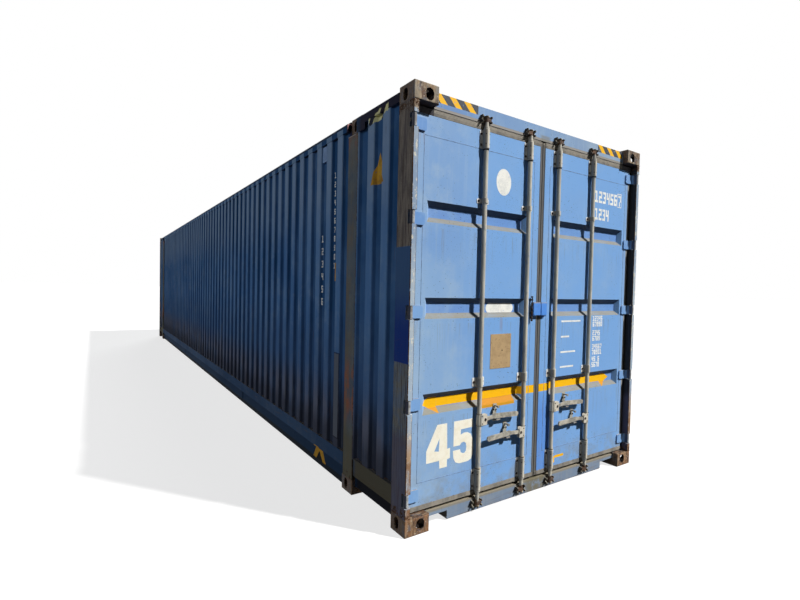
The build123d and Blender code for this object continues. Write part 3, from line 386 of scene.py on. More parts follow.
def sill_paint():
    """Sill: greyed, scraped and rusty along its lips and notches."""
    look = Look("sill_paint", 0.2)
    look.sheet((132, 150, 172), (146, 152, 158), (116, 134, 158), 0.5, 0.003)
    look.stain((118, 98, 80), 0.3, (0.52, 0.66), 14, 2, stretch=(0.25, 3, 3))
    look.coat((140, 128, 106), look.on_top * 0.8)
    look.coat((142, 134, 116), look.z.ramp(0.088, 0.094, 0, 0.8))
    middle = look.x.band(-0.1, 0.14, 0.05) * look.noise(18, 44).ramp(0.32, 0.52)
    look.coat((112, 106, 84), middle * 0.85)
    look.stain((70, 84, 100), 0.5, (0.6, 0.7), 24, 46, 4, stretch=(2.2, 2.2, 0.12))
    edge = look.z.ramp(0.022, 0.012) * 0.9 | look.z.ramp(0.098, 0.105) * 0.6
    edge |= look.side.ramp(1.02, 1.05) * 0.7
    edge |= look.side.band(0.86, 0.9, 0.01) * look.z.ramp(0.085, 0.07) * 0.8
    return look.finish(0.6 + look.wear(edge, 5, 0.52) * 0.25)


def inside_of(look):
    """Greyer, scuffed paint on faces that look into the cargo space."""
    scuff = look.noise(8, 71, stretch=(1, 0.4, 2))
    inner = look.mix(scuff.ramp(0.45, 0.65, 0, 0.8), (150, 156, 160), (112, 104, 96))
    look.coat(inner, (look.outward * -1).ramp(0.3, 0.6))


def hazard_tape(look):
    """Torn pale yellow and black tape near the corner, on rail and sheet alike."""
    slope = look.z + look.behind * 0.18
    along = look.behind + look.z * 0.7
    torn = (look.noise(26, 95, 4) - 0.5) * 0.05
    where = (slope + torn).band(2.858, 2.908, 0.003) * look.behind.band(0.318, 0.6, 0.004) * look.on_left
    stripes = along.wave(0.14, 0.02).ramp(0.42, 0.5)
    tape = look.mix(stripes, (34, 32, 42), (236, 232, 176))
    look.coat(tape, where * 0.95)


def torn_gusset(look):
    """Dark, dented corner at the head of the intermediate post, with torn stickers."""
    dark = look.side_patch(0.8, 0.962, 2.757, 2.881, 0.004)
    look.coat((44, 38, 58), dark * 0.85)
    line = look.side_patch(0.8, 0.962, 2.748, 2.757, 0.001)
    look.coat((176, 170, 166), line * 0.7)
    torn = look.side_patch(0.872, 0.93, 2.852, 2.878) | look.side_patch(0.93, 0.95, 2.825, 2.862)
    look.coat((232, 176, 176), torn * 0.9)


def side_paint():
    """Corrugated side sheets: darker towards the bottom, brownish dirt low down, rust runs."""
    look = Look("side_paint", 0.02)
    look.sheet(SIDE_BASE, SIDE_PALE, SIDE_DEEP, 0.35, 0.004)
    fade = look.noise(2, 33, 4, 0.6, stretch=(1, 1, 0.5)).ramp(0.35, 0.65, 0.55, 0.95)
    valley = look.side.ramp(1.2465, 1.2385)
    look.coat(SIDE_NAVY, valley * fade)
    look.coat((150, 172, 200), (1 - valley) * look.z.ramp(1.9, 2.5) * 0.6)
    look.coat((66, 92, 134), look.z.ramp(1.5, 0.9) * 0.5)
    low = look.z.ramp(0.95, 0.55)
    brown = look.noise(3.5, 13, stretch=(1, 1, 0.5)).ramp(0.3, 0.6, 0.45, 0.95)
    dull = look.mix(valley, (108, 112, 130), (46, 54, 72))
    look.coat(dull, low * brown)
    look.coat((48, 50, 60), look.z.ramp(0.6, 0.35) * 0.7)
    rim = look.side_patch(1.036, 1.136, 0.36, 1.06, 0.002)
    repair = look.side_patch(1.044, 1.128, 0.37, 1.05, 0.002)
    look.coat((40, 40, 50), rim * 0.7)
    look.coat((108, 114, 126), repair * 0.85)
    runs = look.noise(16, 16, stretch=(1.5, 1.5, 0.07)).ramp(0.58, 0.72)
    look.coat((142, 148, 152), runs * 0.25)
    look.stain(RUST_MID, 0.6, (0.64, 0.74), 20, 19, stretch=(1.5, 1.5, 0.1))
    look.speckle(0.6, 60, 17, RUST_DARK)
    # plain yellow arrow and label patch on the left side
    gap = (2.545 - look.z) * 0.42 - abs(look.behind - 0.462)
    wedge = gap.ramp(-0.002, 0.002) * look.z.ramp(2.322, 2.326) * look.on_left
    label = look.side_patch(1.125, 1.199, 1.642, 1.791, 0.003)
    scuffed = look.noise(44, 91, 5, 0.75).ramp(0.6, 0.64, 1, 0.3)
    ochre = look.mix(look.noise(14, 92, 4, 0.55).ramp(0.4, 0.7), (206, 160, 62), (160, 120, 58))
    look.coat(ochre, (wedge | label) * scuffed)
    hazard_tape(look)
    torn_gusset(look)
    inside_of(look)
    edge = look.z.ramp(0.33, 0.28) | look.z.ramp(2.79, 2.81)
    return look.finish(0.8 + look.wear(edge * 0.9, 35, 0.5) * 0.15)


def lift_mark(look):
    """Yellow arch painted on the left bottom rail, with near black in its middle as the painted shade of a
    hollow.
    """
    off = abs(look.behind - 1.47)
    drop = 0.186 - look.z
    outer = 0.052 + drop * 0.66 - off
    inner = (drop - 0.052) * 0.86 - off
    on_left = look.on_left * look.z.band(0.052, 0.186)
    hollow = on_left * inner.ramp(-0.002, 0.002)
    arch = on_left * outer.ramp(-0.002, 0.002)
    worn = look.noise(40, 61, 5, 0.75).ramp(0.56, 0.62, 1, 0.35)
    look.coat((206, 156, 62), arch * worn)
    # painted shade: near black inside the arch
    look.coat((14, 16, 18), hollow)


def rail_paint(name, base, pale, deep, worn):
    """Rails and beams: dust on ledges, scrapes along the length, and painted shade on the lower parts of the
    bottom and overhang rails.
    """
    look = Look(name, 0.03)
    look.sheet(base, pale, deep, 0.4, 0.002)
    look.stain((96, 86, 78), 0.45, (0.56, 0.68), 18, 2, stretch=(3, 0.2, 3))
    look.coat((112, 106, 96), look.on_top * 0.7)
    on_side = abs(look.nx).ramp(0.8, 0.9)
    if name == "top_rail_paint":
        # the sheet's stripes run on over the lower part of the rail
        stripes = look.behind.wave(0.216, 1.139).ramp(0.4, 0.6)
        panel = look.mix(stripes, SIDE_PALE, SIDE_NAVY)
        along = look.z.ramp(2.848, 2.844) * on_side * look.depth.ramp(0.96, 0.97)
        look.coat(panel, along * 0.85)
        near = look.behind.ramp(0.78, 0.7) * on_side
        look.coat((36, 33, 46), near * 0.85)
        hazard_tape(look)
        torn_gusset(look)
    if name == "rail_paint":
        # painted shade: the recessed lower part of the bottom rail is dark navy and its foot near black
        look.coat((24, 44, 68), look.z.ramp(0.182, 0.178) * on_side * 0.85)
        look.coat((24, 26, 26), look.z.ramp(0.07, 0.05) * on_side * 0.85)
        lift_mark(look)
        # painted shade: the overhang rails are olive above their step and near black below it
        overhang = look.depth.ramp(0.8, 0.7) * on_side
        olive_and_painted_shade = look.mix(look.z.ramp(0.155, 0.149), (88, 84, 70), (8, 8, 10))
        look.coat(olive_and_painted_shade, overhang * 0.95)
    lines = look.z.ramp(0.03, 0.012) | look.z.band(0.17, 0.182, 0.004) | look.z.ramp(2.858, 2.866)
    bare = look.wear(lines * 0.9, 5, worn)
    look.speckle(0.7, 70, 27, RUST_MID)
    return look.finish(0.76 + bare * 0.2)


def post_paint(name, base, pale, deep, worn):
    """Corner and intermediate posts: repainted patches, scrapes and rusty corners."""
    look = Look(name, 0.04)
    look.sheet(base, pale, deep, 0.5, 0.002)
    on_side = abs(look.nx).ramp(0.6, 0.9)
    if name == "door_post_paint":
        # dark, sooty side faces with one fresh patch, pale front strips that go brown low down
        sooty = look.mix(look.noise(9, 81).ramp(0.4, 0.62), (104, 118, 138), (118, 118, 116))
        streaks = look.noise(14, 82, stretch=(1, 1, 0.2)).ramp(0.35, 0.6)
        scoured = look.mix(streaks, (96, 88, 86), (134, 124, 114))
        sooty = look.mix(look.z.ramp(1.862, 1.87), sooty, scoured)
        look.coat(sooty, on_side * 0.94)
        strokes = look.noise(40, 86, 5, 0.75, stretch=(2.4, 2.4, 0.07)).ramp(0.48, 0.58)
        look.coat((58, 50, 46), on_side * strokes * 0.75)
        scratches = look.noise(50, 85, 5, 0.75, stretch=(2.4, 2.4, 0.09)).ramp(0.58, 0.66)
        look.coat((168, 158, 144), on_side * scratches * 0.6)
        look.speckle(0.7, 100, 84, (176, 176, 170))
        # painted shade: faces that look into the door opening are painted near black
        inward = (look.outward * -1).ramp(0.4, 0.8)
        look.coat((38, 40, 46), inward * 0.9)
        fresh = on_side * (1 - inward) * look.x.ramp(0, -0.1) * look.z.band(1.117, 1.862, 0.004)
        blue = look.mix(look.z.ramp(1.3, 1.65), (24, 56, 132), (60, 92, 136))
        look.coat(blue, fresh * 0.95)
        face = 1 - on_side
        blot = look.noise(11, 83, stretch=(1, 1, 0.45))
        flake = look.noise(34, 88, 6, 0.78, stretch=(1, 1, 0.6)).ramp(0.54, 0.6)
        look.coat((226, 220, 200), flake * face * 0.85)
        low = look.z.ramp(0.74, 0.5) * look.z.ramp(0.262, 0.274) | look.z.ramp(0.2, 0.18)
        tan = look.mix(look.z.ramp(0.5, 0.47), (172, 142, 114), (142, 110, 84))
        look.coat(tan, low * face * blot.ramp(0.3, 0.5))
        fleck = look.noise(58, 89, 5, 0.75).ramp(0.6, 0.64)
        look.coat((224, 214, 190), low * face * fleck * 0.8)
        high = look.z.ramp(2.716, 2.728) * face
        look.coat((150, 128, 102), high * 0.85)
        purple = on_side * look.z.ramp(0.7, 0.6)
        look.coat((88, 84, 104), purple * 0.7)
    else:
        look.stain((112, 102, 88), 0.7, (0.42, 0.62), 4, 85, stretch=(1, 1, 0.4))
        look.coat((92, 88, 66), look.z.ramp(0.6, 0.4) * 0.6)
        blot = look.noise(12, 87, stretch=(1, 1, 0.4)).ramp(0.4, 0.58)
        rusty = look.z.band(0.6, 1, 0.1) | look.z.ramp(2.62, 2.74)
        look.coat((150, 94, 66), rusty * blot * 0.75)
    vertical_edge = abs(look.nx * look.ny).ramp(0.02, 0.2)
    ends = look.z.ramp(0.3, 0.118) | look.z.ramp(2.6, 2.778)
    bare = look.wear(vertical_edge | ends * 0.85, 45, worn)
    look.speckle(0.7, 60, 29, RUST_MID)
    if name == "inner_post_paint":
        torn_gusset(look)
    return look.finish(0.7 + bare * 0.25)


def casting_steel():
    """Cast steel: rust over remains of paint, rounded grain, pale scrapes, with painted shade on the side
    faces and undersides.
    """
    look = Look("casting_steel", 0.2)
    look.colour = look.rust(3)
    remains = look.noise(14, 4, 6).ramp(0.5, 0.6)
    look.coat((92, 100, 112), remains * 0.6)
    dusty = look.noise(22, 6, stretch=(1.6, 1.6, 0.3)).ramp(0.48, 0.66)
    look.coat((176, 152, 122), dusty * 0.7)
    look.stain((196, 184, 160), 0.7, (0.64, 0.7), 60, 7, 4, stretch=(3, 3, 0.15))
    front = abs(look.ny).ramp(0.6, 0.9)
    cream = look.noise(17, 12, 5, 0.75, stretch=(1.5, 1, 0.5)).ramp(0.4, 0.58)
    low = look.z.ramp(0.2, 0.15)
    tint = look.mix(low, (200, 190, 166), (158, 118, 84))
    look.coat(tint, front * cream * (0.35 + low * 0.35))
    # painted shade: side faces are painted darker
    aside = abs(look.nx).ramp(0.6, 0.9)
    look.coat((62, 54, 50), aside * 0.55)
    # painted shade: undersides are painted near black
    under = look.nz.ramp(-0.4, -0.8)
    look.coat((18, 17, 28), under * 0.93)
    specks = look.noise(90, 14, 4).ramp(0.62, 0.66)
    look.coat((226, 216, 196), front * specks * 0.8)
    look.lift(look.noise(55, 8) * 0.0016, look.noise(260, 9, 3, 0.6) * 0.0003)
    return look.finish(0.62 + dusty * 0.25)


def bar_steel():
    """Galvanised bars with an old grey-beige coat, pale hub plates, dark cams, and a painted shade along
    their left sides.
    """
    look = Look("bar_steel", 0.35)
    tone = look.tones((204, 199, 184), (168, 166, 158), (0.38, 0.62), 5, 2, 5, 0.65, stretch=(1, 1, 0.4))
    look.stain((112, 128, 150), 0.6, (0.56, 0.62), 30, 3, 6, 0.75, stretch=(1, 1, 0.4))
    away = abs(look.side - 0.615) & abs(look.side - 0.167)
    # painted shade: the left sides of the bars are painted dark grey
    look.coat((92, 92, 90), look.nx.ramp(-0.7, -0.97, 0, 0.6))
    plate = away.ramp(0.0185, 0.0195) * look.z.band(0.46, 0.73, 0.02)
    look.coat((206, 199, 184), plate * 0.85)
    spots = look.noise(34, 6).ramp(0.58, 0.66)
    look.coat((134, 106, 78), plate * spots * 0.7)
    cams = look.z.ramp(0.088, 0.082) | look.z.ramp(2.774, 2.78)
    look.coat((84, 76, 70), cams * 0.8)
    ends = look.z.ramp(0.12, 0.09) | look.z.ramp(2.75, 2.78)
    bare = look.wear(ends, 5, 0.46)
    look.speckle(0.8, 120, 9, RUST_MID)
    look.lift(look.noise(90, 10, 4, 0.6) * 0.0004)
    return look.finish(0.45 + tone * 0.15 + bare * 0.3)


def handle_steel():
    """Handles: galvanised and greasy, rusty at the root."""
    look = Look("handle_steel", 0.35, 0.1)
    tone = look.tones((184, 178, 163), (132, 129, 121), (0.38, 0.62), 18, 2, 5, 0.65)
    rusty = look.noise(30, 3, 6, 0.75).ramp(0.6, 0.68)
    look.coat(RUST_MID, rusty * 0.5)
    look.lift(look.noise(120, 10, 4, 0.6) * 0.0003)
    return look.finish(0.4 + rusty * 0.35)


def guide_steel(name, flange_colour, saddle_colour, dark):
    """Galvanised fittings with streaks of zinc bloom and rust at the bolts, and a painted shade on the left
    sides of the saddles.
    """
    look = Look(name, 0.3)
    tone = look.noise(14, 2, 5, 0.65)
    flange = look.depth.ramp(0.05, 0.056)
    base = look.mix(flange, saddle_colour, flange_colour)
    look.colour = look.mix(tone.ramp(0.46, 0.7, 0, 0.7), base, dark)
    look.stain((128, 98, 72), 0.5, (0.6, 0.74), 50, 13, 4, stretch=(2, 2, 0.15))
    # painted shade: the saddles' left sides are painted dark grey
    shaded = (1 - flange) * look.nx.ramp(-0.15, -0.5)
    look.coat((66, 64, 66), shaded * 0.7)
    bare = look.wear(0, 15, 0.36)
    look.lift(look.noise(120, 10, 4, 0.6) * 0.0002)
    return look.finish(0.5 + bare * 0.3)


def rusty_steel(name, dark):
    """Bare steel parts under rust: keepers, pins, plates."""
    look = Look(name, 0.2)
    look.colour = look.rust(13)
    look.stain((96, 92, 88), 0.6, (0.5, 0.64), 20, 5)
    look.coat((46, 42, 42), dark)
    look.lift(look.noise(140, 8, 4) * 0.0006)
    return look.finish(0.78)


def steel_with_painted_shade(name, light, dark):
    """Small steel parts, mottled light and dark, with a painted shade on the sides that face left."""
    look = Look(name, 0.12)
    tone = look.tones(light, dark, (0.38, 0.62), 24, 5)
    # painted shade: the sides that face left are painted near black
    left = look.nx.ramp(0.05, -0.3)
    look.coat((34, 30, 30), left * 0.85)
    if name == "ring_steel":
        look.coat((48, 44, 42), look.z.band(2.5, 2.6, 0.01))
    rusty = look.noise(44, 7, 5, 0.75).ramp(0.6, 0.66)
    look.coat(RUST_DARK, rusty * 0.1)
    look.lift(look.noise(140, 8, 4) * 0.0005)
    return look.finish(0.66 + rusty * 0.25)


def gasket_rubber():
    """Dusty ribbed rubber of the door seals, with a painted shadow under the top corner castings and painted
    light on the right seal's outer edge.
    """
    look = Look("gasket_rubber", 0.25)
    tone = look.tones((148, 142, 131), (112, 109, 104), (0.38, 0.64), 10, 2, 5, 0.65, stretch=(1, 1, 0.5))
    look.stain((70, 70, 72), 0.6, (0.64, 0.7), 34, 4)
    upright = look.z.band(0.16, 2.724, 0.002)
    level = look.z.ramp(2.726, 2.73) | look.z.ramp(0.158, 0.154)
    ribs = look.side.wave(0.008) * upright | look.z.wave(0.008) * level
    look.coat((102, 104, 106), upright * 0.85)
    look.coat((150, 144, 130), ribs * upright * 0.06)
    look.coat((164, 158, 146), look.z.ramp(2.742, 2.746, 0, 0.5))
    # painted shadow: the top ends of the seals under the corner castings are painted near black
    corner = look.side.ramp(1.05, 1.06) * look.z.ramp(2.718, 2.728)
    look.coat((28, 27, 38), corner * 0.9)
    # painted light: the outer edge of the right seal is painted pale, as if the sun reached it
    free = look.x.ramp(1.18, 1.186) * look.z.band(0.2, 2.7, 0.01)
    look.coat((196, 190, 172), free * 0.9)
    look.lift(ribs * 0.0016, tone * 0.002)
    return look.finish(0.8)


def floor_wood():
    """Hardwood plywood sheets with seams, grain and scuffs."""
    look = Look("floor_wood", 0.25)
    grain = look.tones((120, 80, 50), (158, 112, 74), (0.35, 0.65), 30, 1, 6, 0.65, stretch=(4, 0.25, 1))
    wear = look.noise(2.2, 3)
    look.coat((126, 116, 104), wear.ramp(0.45, 0.65, 0, 0.7))
    cross = abs((look.y + 20) % 1.16 - 0.58)
    along = abs((look.x + 10) % 0.5 - 0.25)
    seams = cross.ramp(0.003, 0.0015) | along.ramp(0.003, 0.0015)
    look.coat((30, 24, 20), seams * 0.9)
    look.lift(seams * -0.002, grain * 0.0006)
    return look.finish(0.5 + wear * 0.25)


def underbody():
    """Dark wax coat over the cross members, dusty and rusty in places."""
    look = Look("underbody", 0.25)
    tone = look.tones((38, 38, 40), (74, 70, 64), (0.4, 0.65), 6, 2)
    rusty = look.noise(14, 3, 6, 0.75).ramp(0.58, 0.66)
    look.coat(RUST_MID, rusty * 0.8)
    look.lift(look.noise(60, 9, 4, 0.6) * 0.0008)
    return look.finish(0.7)


def roof_paint():
    """Roof sheets: chalky, with puddle rings, soot and rust along the waves."""
    look = Look("roof_paint", 0.15)
    look.sheet((120, 146, 178), (150, 166, 184), (98, 124, 158), 0.2, 0.005)
    puddle = look.noise(1.3, 12).ramp(0.5, 0.62)
    look.coat((128, 120, 106), puddle * 0.55)
    rim = look.noise(1.3, 12).band(0.5, 0.515, 0.006)
    look.coat((84, 78, 72), rim * 0.6)
    look.speckle(0.8, 40, 3, RUST_MID)
    return look.finish(0.62 + look.wear(look.side.ramp(1.17, 1.22) * 0.9, 7, 0.5) * 0.25)


def vent_cover():
    """Moulded vent covers, dusty, with slits painted near black as the shade in their openings."""
    look = Look("vent_cover", 0.25)
    tone = look.tones((104, 138, 184), (86, 116, 158), (0.4, 0.65), 12, 1, 4, 0.6)
    look.coat(DUST, look.on_top * 0.7)
    # painted shade: dark slits across the vent sides
    slits = look.z.wave(0.02).ramp(0.72, 0.8)
    slits *= abs(look.nx).ramp(0.7, 0.9) * look.z.ramp(2.5, 2.4)
    look.coat((20, 22, 26), slits)
    look.lift(slits * -0.003)
    return look.finish(0.6)


def mark_paint(name, main, dirty, behind, worn, seed):
    """Paint of a mark, chipped down to the paint behind it."""
    look = Look(name, 0.2)
    tone = look.tones(main, dirty, (0.42, 0.7), 16, seed + 2, 5, 0.65)
    chips = look.noise(52, seed + 3, 6, 0.75).ramp(0.6 - worn, 0.635 - worn)
    look.coat(behind, chips * 0.85)
    look.speckle(0.8, 120, seed + 9)
    look.lift(chips * -0.0002, look.noise(200, seed, 3, 0.55) * 0.00005)
    return look.finish(0.6)


def weld_metal(name, first, second):
    """Painted weld beads, with rust in the ripples."""
    look = Look(name, 0.25)
    tone = look.tones(first, second, (0.42, 0.62), 30, 4)
    look.stain(RUST_MID, 0.6, (0.58, 0.66), 70, 5)
    look.lift(look.noise(200, 6, 3, 0.55) * 0.0004)
    return look.finish(0.6)


# finished materials; a node takes the one whose key ends its name
LOOKS = {
    "hinges": hinge_paint(),
    "lap_plate": lap_paint(),
    "door_header": header_paint(),
    "door_sill": sill_paint(),
    "side_wall": side_paint(),
    "bottom_rail": rail_paint("rail_paint", (58, 82, 114), (78, 94, 118), (46, 68, 98), 0.6),
    "top_rail": rail_paint("top_rail_paint", (48, 66, 92), (70, 82, 100), (36, 50, 74), 0.6),
    "front_wall": rail_paint("front_paint", SIDE_BASE, SIDE_PALE, SIDE_DEEP, 0.56),
    "door_post": post_paint("door_post_paint", (166, 184, 202), (196, 200, 196), (138, 158, 184), 0.47),
    "intermediate_posts": post_paint(
        "inner_post_paint", (96, 108, 120), (120, 124, 122), (76, 90, 106), 0.54
    ),
    "front_posts": post_paint("front_post_paint", (70, 96, 132), (96, 116, 140), (52, 76, 112), 0.47),
    "castings": casting_steel(),
    "bar": bar_steel(),
    "handle": handle_steel(),
    "bar_guides": guide_steel("guide_steel", (244, 244, 240), (206, 201, 186), (170, 168, 158)),
    "handle_catches": guide_steel("catch_steel", (170, 168, 158), (150, 146, 136), (92, 92, 92)),
    "hinge_pins": rusty_steel("rusty_steel", 0.0),
    "dark_rust": rusty_steel("dark_rusty_steel", 0.85),
    "bolt": rusty_steel("bolt_steel", 0.8),
    "cam_keepers": steel_with_painted_shade("keeper_steel", (172, 166, 150), (116, 112, 104)),
    "ring": steel_with_painted_shade("ring_steel", (198, 188, 166), (150, 132, 108)),
    "gasket": gasket_rubber(),
    "floor_boards": floor_wood(),
    "cross_members": underbody(),
    "roof": roof_paint(),
    "side_vents": vent_cover(),
    "weld": weld_metal("weld_paint", (126, 156, 196), (98, 120, 156)),
    "side_weld": weld_metal("side_weld_paint", (84, 104, 132), (98, 92, 84)),
    "white": mark_paint("white_mark", (244, 244, 238), (222, 224, 220), DOOR_DEEP, -0.03, 1),
    "cream": mark_paint("cream_mark", (250, 246, 230), (242, 235, 214), DOOR_BASE, -0.08, 2),
    "side_white": mark_paint("side_white_mark", (236, 238, 238), (200, 206, 210), SIDE_BASE, 0.02, 5),
    "tan": mark_paint("tan_plate", (182, 155, 116), (164, 138, 102), (120, 96, 70), 0.0, 7),
}

for side in SIDES:
    LOOKS[f"{side}_door_frame"] = LOOKS[f"{side}_door_panel"] = door_leaf(f"{side}_leaf_paint", side)
LOOKS["overhang_rails"] = LOOKS["bottom_rail"]
LOOKS["front_beams"] = LOOKS["front_wall"]

for name, node in NODES.items():
    material = next(look for ending, look in LOOKS.items() if name.endswith(ending))
    if not node.material_slots:
        node.data.materials.append(material)
    for slot in node.material_slots:
        slot.material = material


def at(x, y, z):
    """A place in mm: x to the right, y behind the door end, z up."""
    return Vector((x * MM, DOOR_END + y * MM, z * MM))


def on_door(u, v, h, depth=LEAF_DEPTH):
    """A place on the doors: u across, v up, h out of the face at the given depth."""
    return at(u, depth - h, v)


def on_side(u, v, h, sign=-1):
    """A place on a side: u behind the door end, v up, h out of the crests of the wall."""
    return at(sign * (CREST + h), u, v)


def on_left_side(u, v, h):
    """A place on the left side as one reads it: u grows toward the doors."""
    return on_side(-u, v, h)


class Piece:
    """A mesh collected from many small closed forms."""

    def __init__(self):
        self.points = []
        self.faces = []

    def add(self, points, faces):
        start = len(self.points)
        self.points += [tuple(point) for point in points]
        self.faces += [tuple(start + index for index in face) for face in faces]

    def block(self, low, high):
        (x0, y0, z0), (x1, y1, z1) = low, high
        points = [(x, y, z) for x in (x0, x1) for y in (y0, y1) for z in (z0, z1)]
        faces = [(0, 1, 3, 2), (4, 6, 7, 5), (0, 4, 5, 1), (2, 3, 7, 6), (0, 2, 6, 4), (1, 5, 7, 3)]
        self.add(points, faces)

    def slab(self, outline, where, low, high):
        """An outline extruded between two heights over a mapped face."""
        count = len(outline)
        points = [where(u, v, h) for h in (low, high) for u, v in outline]
        faces = [tuple(range(count - 1, -1, -1)), tuple(range(count, 2 * count))]
        for index in range(count):
            after = (index + 1) % count
            faces.append((index, after, count + after, count + index))
        self.add(points, faces)

    def tile(self, u0, v0, u1, v1, where, low=BURIED, high=PAINT):
        """A flat rectangle on a mapped face."""
        self.slab([(u0, v0), (u1, v0), (u1, v1), (u0, v1)], where, low, high)

    def turned(self, centre, axis, profile, sides=16, flat=False):
        """A profile of (distance along axis, radius) turned about the axis."""
        axis = Vector(axis).normalized()
        guide = Vector((0, 0, 1)) if abs(axis.z) < 0.9 else Vector((1, 0, 0))
        first = axis.cross(guide).normalized()
        second = axis.cross(first)
        start = rng.random() * math.tau if flat else 0.0
        points = []
        for along, radius in profile:
            for index in range(sides):
                angle = start + math.tau * index / sides
                spoke = first * math.cos(angle) + second * math.sin(angle)
                points.append(Vector(centre) + (axis * along + spoke * radius) * MM)
        faces = []
        last = (len(profile) - 1) * sides
        for a in range(0, last, sides):
            for index in range(sides):
                after = (index + 1) % sides
                faces.append((a + index, a + after, a + sides + after, a + sides + index))
        faces.append(tuple(range(sides - 1, -1, -1)))
        faces.append(tuple(range(last, last + sides)))
        self.add(points, faces)

    def bolt(self, place, size, washer=True):
        """Hexagon head with a chamfer and thread end, on a washer, facing out of the doors."""
        if washer:
            self.turned(place, DOOR_OUT, [(-0.3, size * 0.66), (1.4, size * 0.66), (1.8, size * 0.62)], 14)
        head = size * CORNERS
        self.turned(place, DOOR_OUT, [(1.2, head), (5.2, head), (6.2, head * 0.86)], 6, True)
        self.turned(place, DOOR_OUT, [(5.8, size * 0.27), (8.6, size * 0.27), (9.2, size * 0.2)], 10)

    def rivet(self, place, radius, axis=DOOR_OUT):
        dome = [(-0.3, radius), (0.2, radius)]
        dome += [(radius * 0.55 * math.sin(a), radius * math.cos(a)) for a in (0.4, 0.8, 1.2)]
        self.turned(place, axis, dome, 12)

    def bead(self, path, radius, step, seed, flatten=1.0, out=DOOR_OUT):
        """A rippled weld bead along a path of points in metres."""
        path = [Vector(point) for point in path]
        rings = []
        for first, last in zip(path, path[1:]):
            way = (last - first).normalized()
            count = max(1, int((last - first).length / MM / step))
            rings += [(first.lerp(last, index / count), way) for index in range(count)]
        rings.append((last, way))
        out = Vector(out)
        sides = 6
        points = []
        wander = random.Random(seed)
        for index, (place, way) in enumerate(rings):
            across = way.cross(out).normalized()
            size = radius * (0.82 + 0.28 * wander.random()) * (1.0 if index % 2 else 0.82)
            shift = across * (wander.random() - 0.5) * radius * 0.25 * MM
            for side_index in range(sides):
                angle = math.tau * side_index / sides
                spoke = across * math.cos(angle) + out * math.sin(angle) * flatten
                points.append(place + shift + spoke * size * MM)
        faces = []
        end = (len(rings) - 1) * sides
        for a in range(0, end, sides):
            for index in range(sides):
                after = (index + 1) % sides
                faces.append((a + index, a + sides + index, a + sides + after, a + after))
        faces.append(tuple(range(sides)))
        faces.append(tuple(range(end + sides - 1, end - 1, -1)))
        self.add(points, faces)

    def done(self, name, body, look, smooth=False, bevel=0.0):
        mesh = bpy.data.meshes.new(name)
        mesh.from_pydata(self.points, [], self.faces)
        shape = bmesh.new()
        shape.from_mesh(mesh)
        bmesh.ops.recalc_face_normals(shape, faces=shape.faces)
        shape.to_mesh(mesh)
        shape.free()
        mesh.materials.append(LOOKS[look])
        for face in mesh.polygons:
            face.use_smooth = smooth
        mesh.update()
        piece = bpy.data.objects.new(name, mesh)
        bpy.context.scene.collection.objects.link(piece)
        if bevel:
            modifier = piece.modifiers.new("edges", "BEVEL")
            modifier.width = bevel * MM
            modifier.segments = 2
            modifier.limit_method = "ANGLE"
        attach(piece, body)
        return piece


# bolts on the bar guides and catches, collar rings, rivets of the hubs
for side, sign in SIDES.items():
    bolts = Piece()
    for offset in BARS.values():
        for z0, z1 in GUIDE_ROWS:
            tall = z1 - z0 > 100
            reach = 32.5 if tall else 41.0
            for level in (z0 + 26, z1 - 26) if tall else ((z0 + z1) / 2,):
                for hand in (-1, 1):
                    bolts.bolt(on_door(sign * offset + hand * reach, level, 4.0), GUIDE_BOLT)
    for place, offset in BARS.items():
        inward = -sign if place == "outer" else sign
        x = sign * offset + inward * 170.0
        z = HANDLE_HEIGHTS[side, place]
        for level in (z + 10, z + 48):
            for hand in (-1, 1):
                bolts.bolt(on_door(x + hand * 11.0, level, 4.0), CATCH_BOLT, False)
    spoke = 22.3 * math.sqrt(0.5)
    for offset in BARS.values():
        for z0, z1 in GUIDE_ROWS[:2]:
            for level in (z0 + 30, z1 - 30):
                for hand in (-1, 1):
                    place = at(sign * offset + hand * spoke, BAR_DEPTH - spoke, level)
                    bolts.rivet(place, 4.6, (hand, -1, 0))
    if side == "left":
        bolts.rivet(on_door(-385.0, 1153.0, 2.0), 5.5)
    bolts.done(f"{side}_guide_bolts", f"{side}_door", "bolt")
    for place, offset in BARS.items():
        inward = -sign if place == "outer" else sign
        trim = Piece()
        x = sign * offset
        z = HANDLE_HEIGHTS[side, place]
        trim.rivet(on_door(x + inward * 40.0, z, 50.0), 11.0)
        for level in (z + 27.0, z - 27.0):
            trim.rivet(on_door(x + inward * 12.0, level, 50.0), 5.0)
        around = [math.tau * n / 20 for n in range(21)]
        middle = LEAF_DEPTH - BAR_DEPTH
        for level in (z - 40.5, z + 40.5):
            path = [on_door(x + HUB * math.cos(a), level, middle + HUB * math.sin(a)) for a in around]
            trim.bead(path, 2.2, 4.0, z, out=(0, 0, 1))
        trim.done(f"{side}_{place}_hub_rivets", f"{side}_{place}_bar", "bolt", True)
        rings = Piece()
        for level, r in ((2580.0, 21.4), (316.0, 21.4), (2727.0, 19.6), (150.0, 19.6)):
            collar = [(0, TUBE), (0.6, r - 1), (2.0, r), (6.0, r), (7.4, r - 1), (8.0, TUBE)]
            rings.turned(at(x, BAR_DEPTH, level), (0, 0, 1), collar, 24)
        for level, way in ((2807.5, 1), (52.5, -1)):
            cap = [(0, 13.6), (0.8, 16.5), (7.0, TUBE), (10.0, 16.0), (12.4, 11.0), (13.4, 4.0)]
            rings.turned(at(x, BAR_DEPTH, level), (0, 0, way), cap)
        rings.done(f"{side}_{place}_bar_rings", f"{side}_{place}_bar", "ring", True)

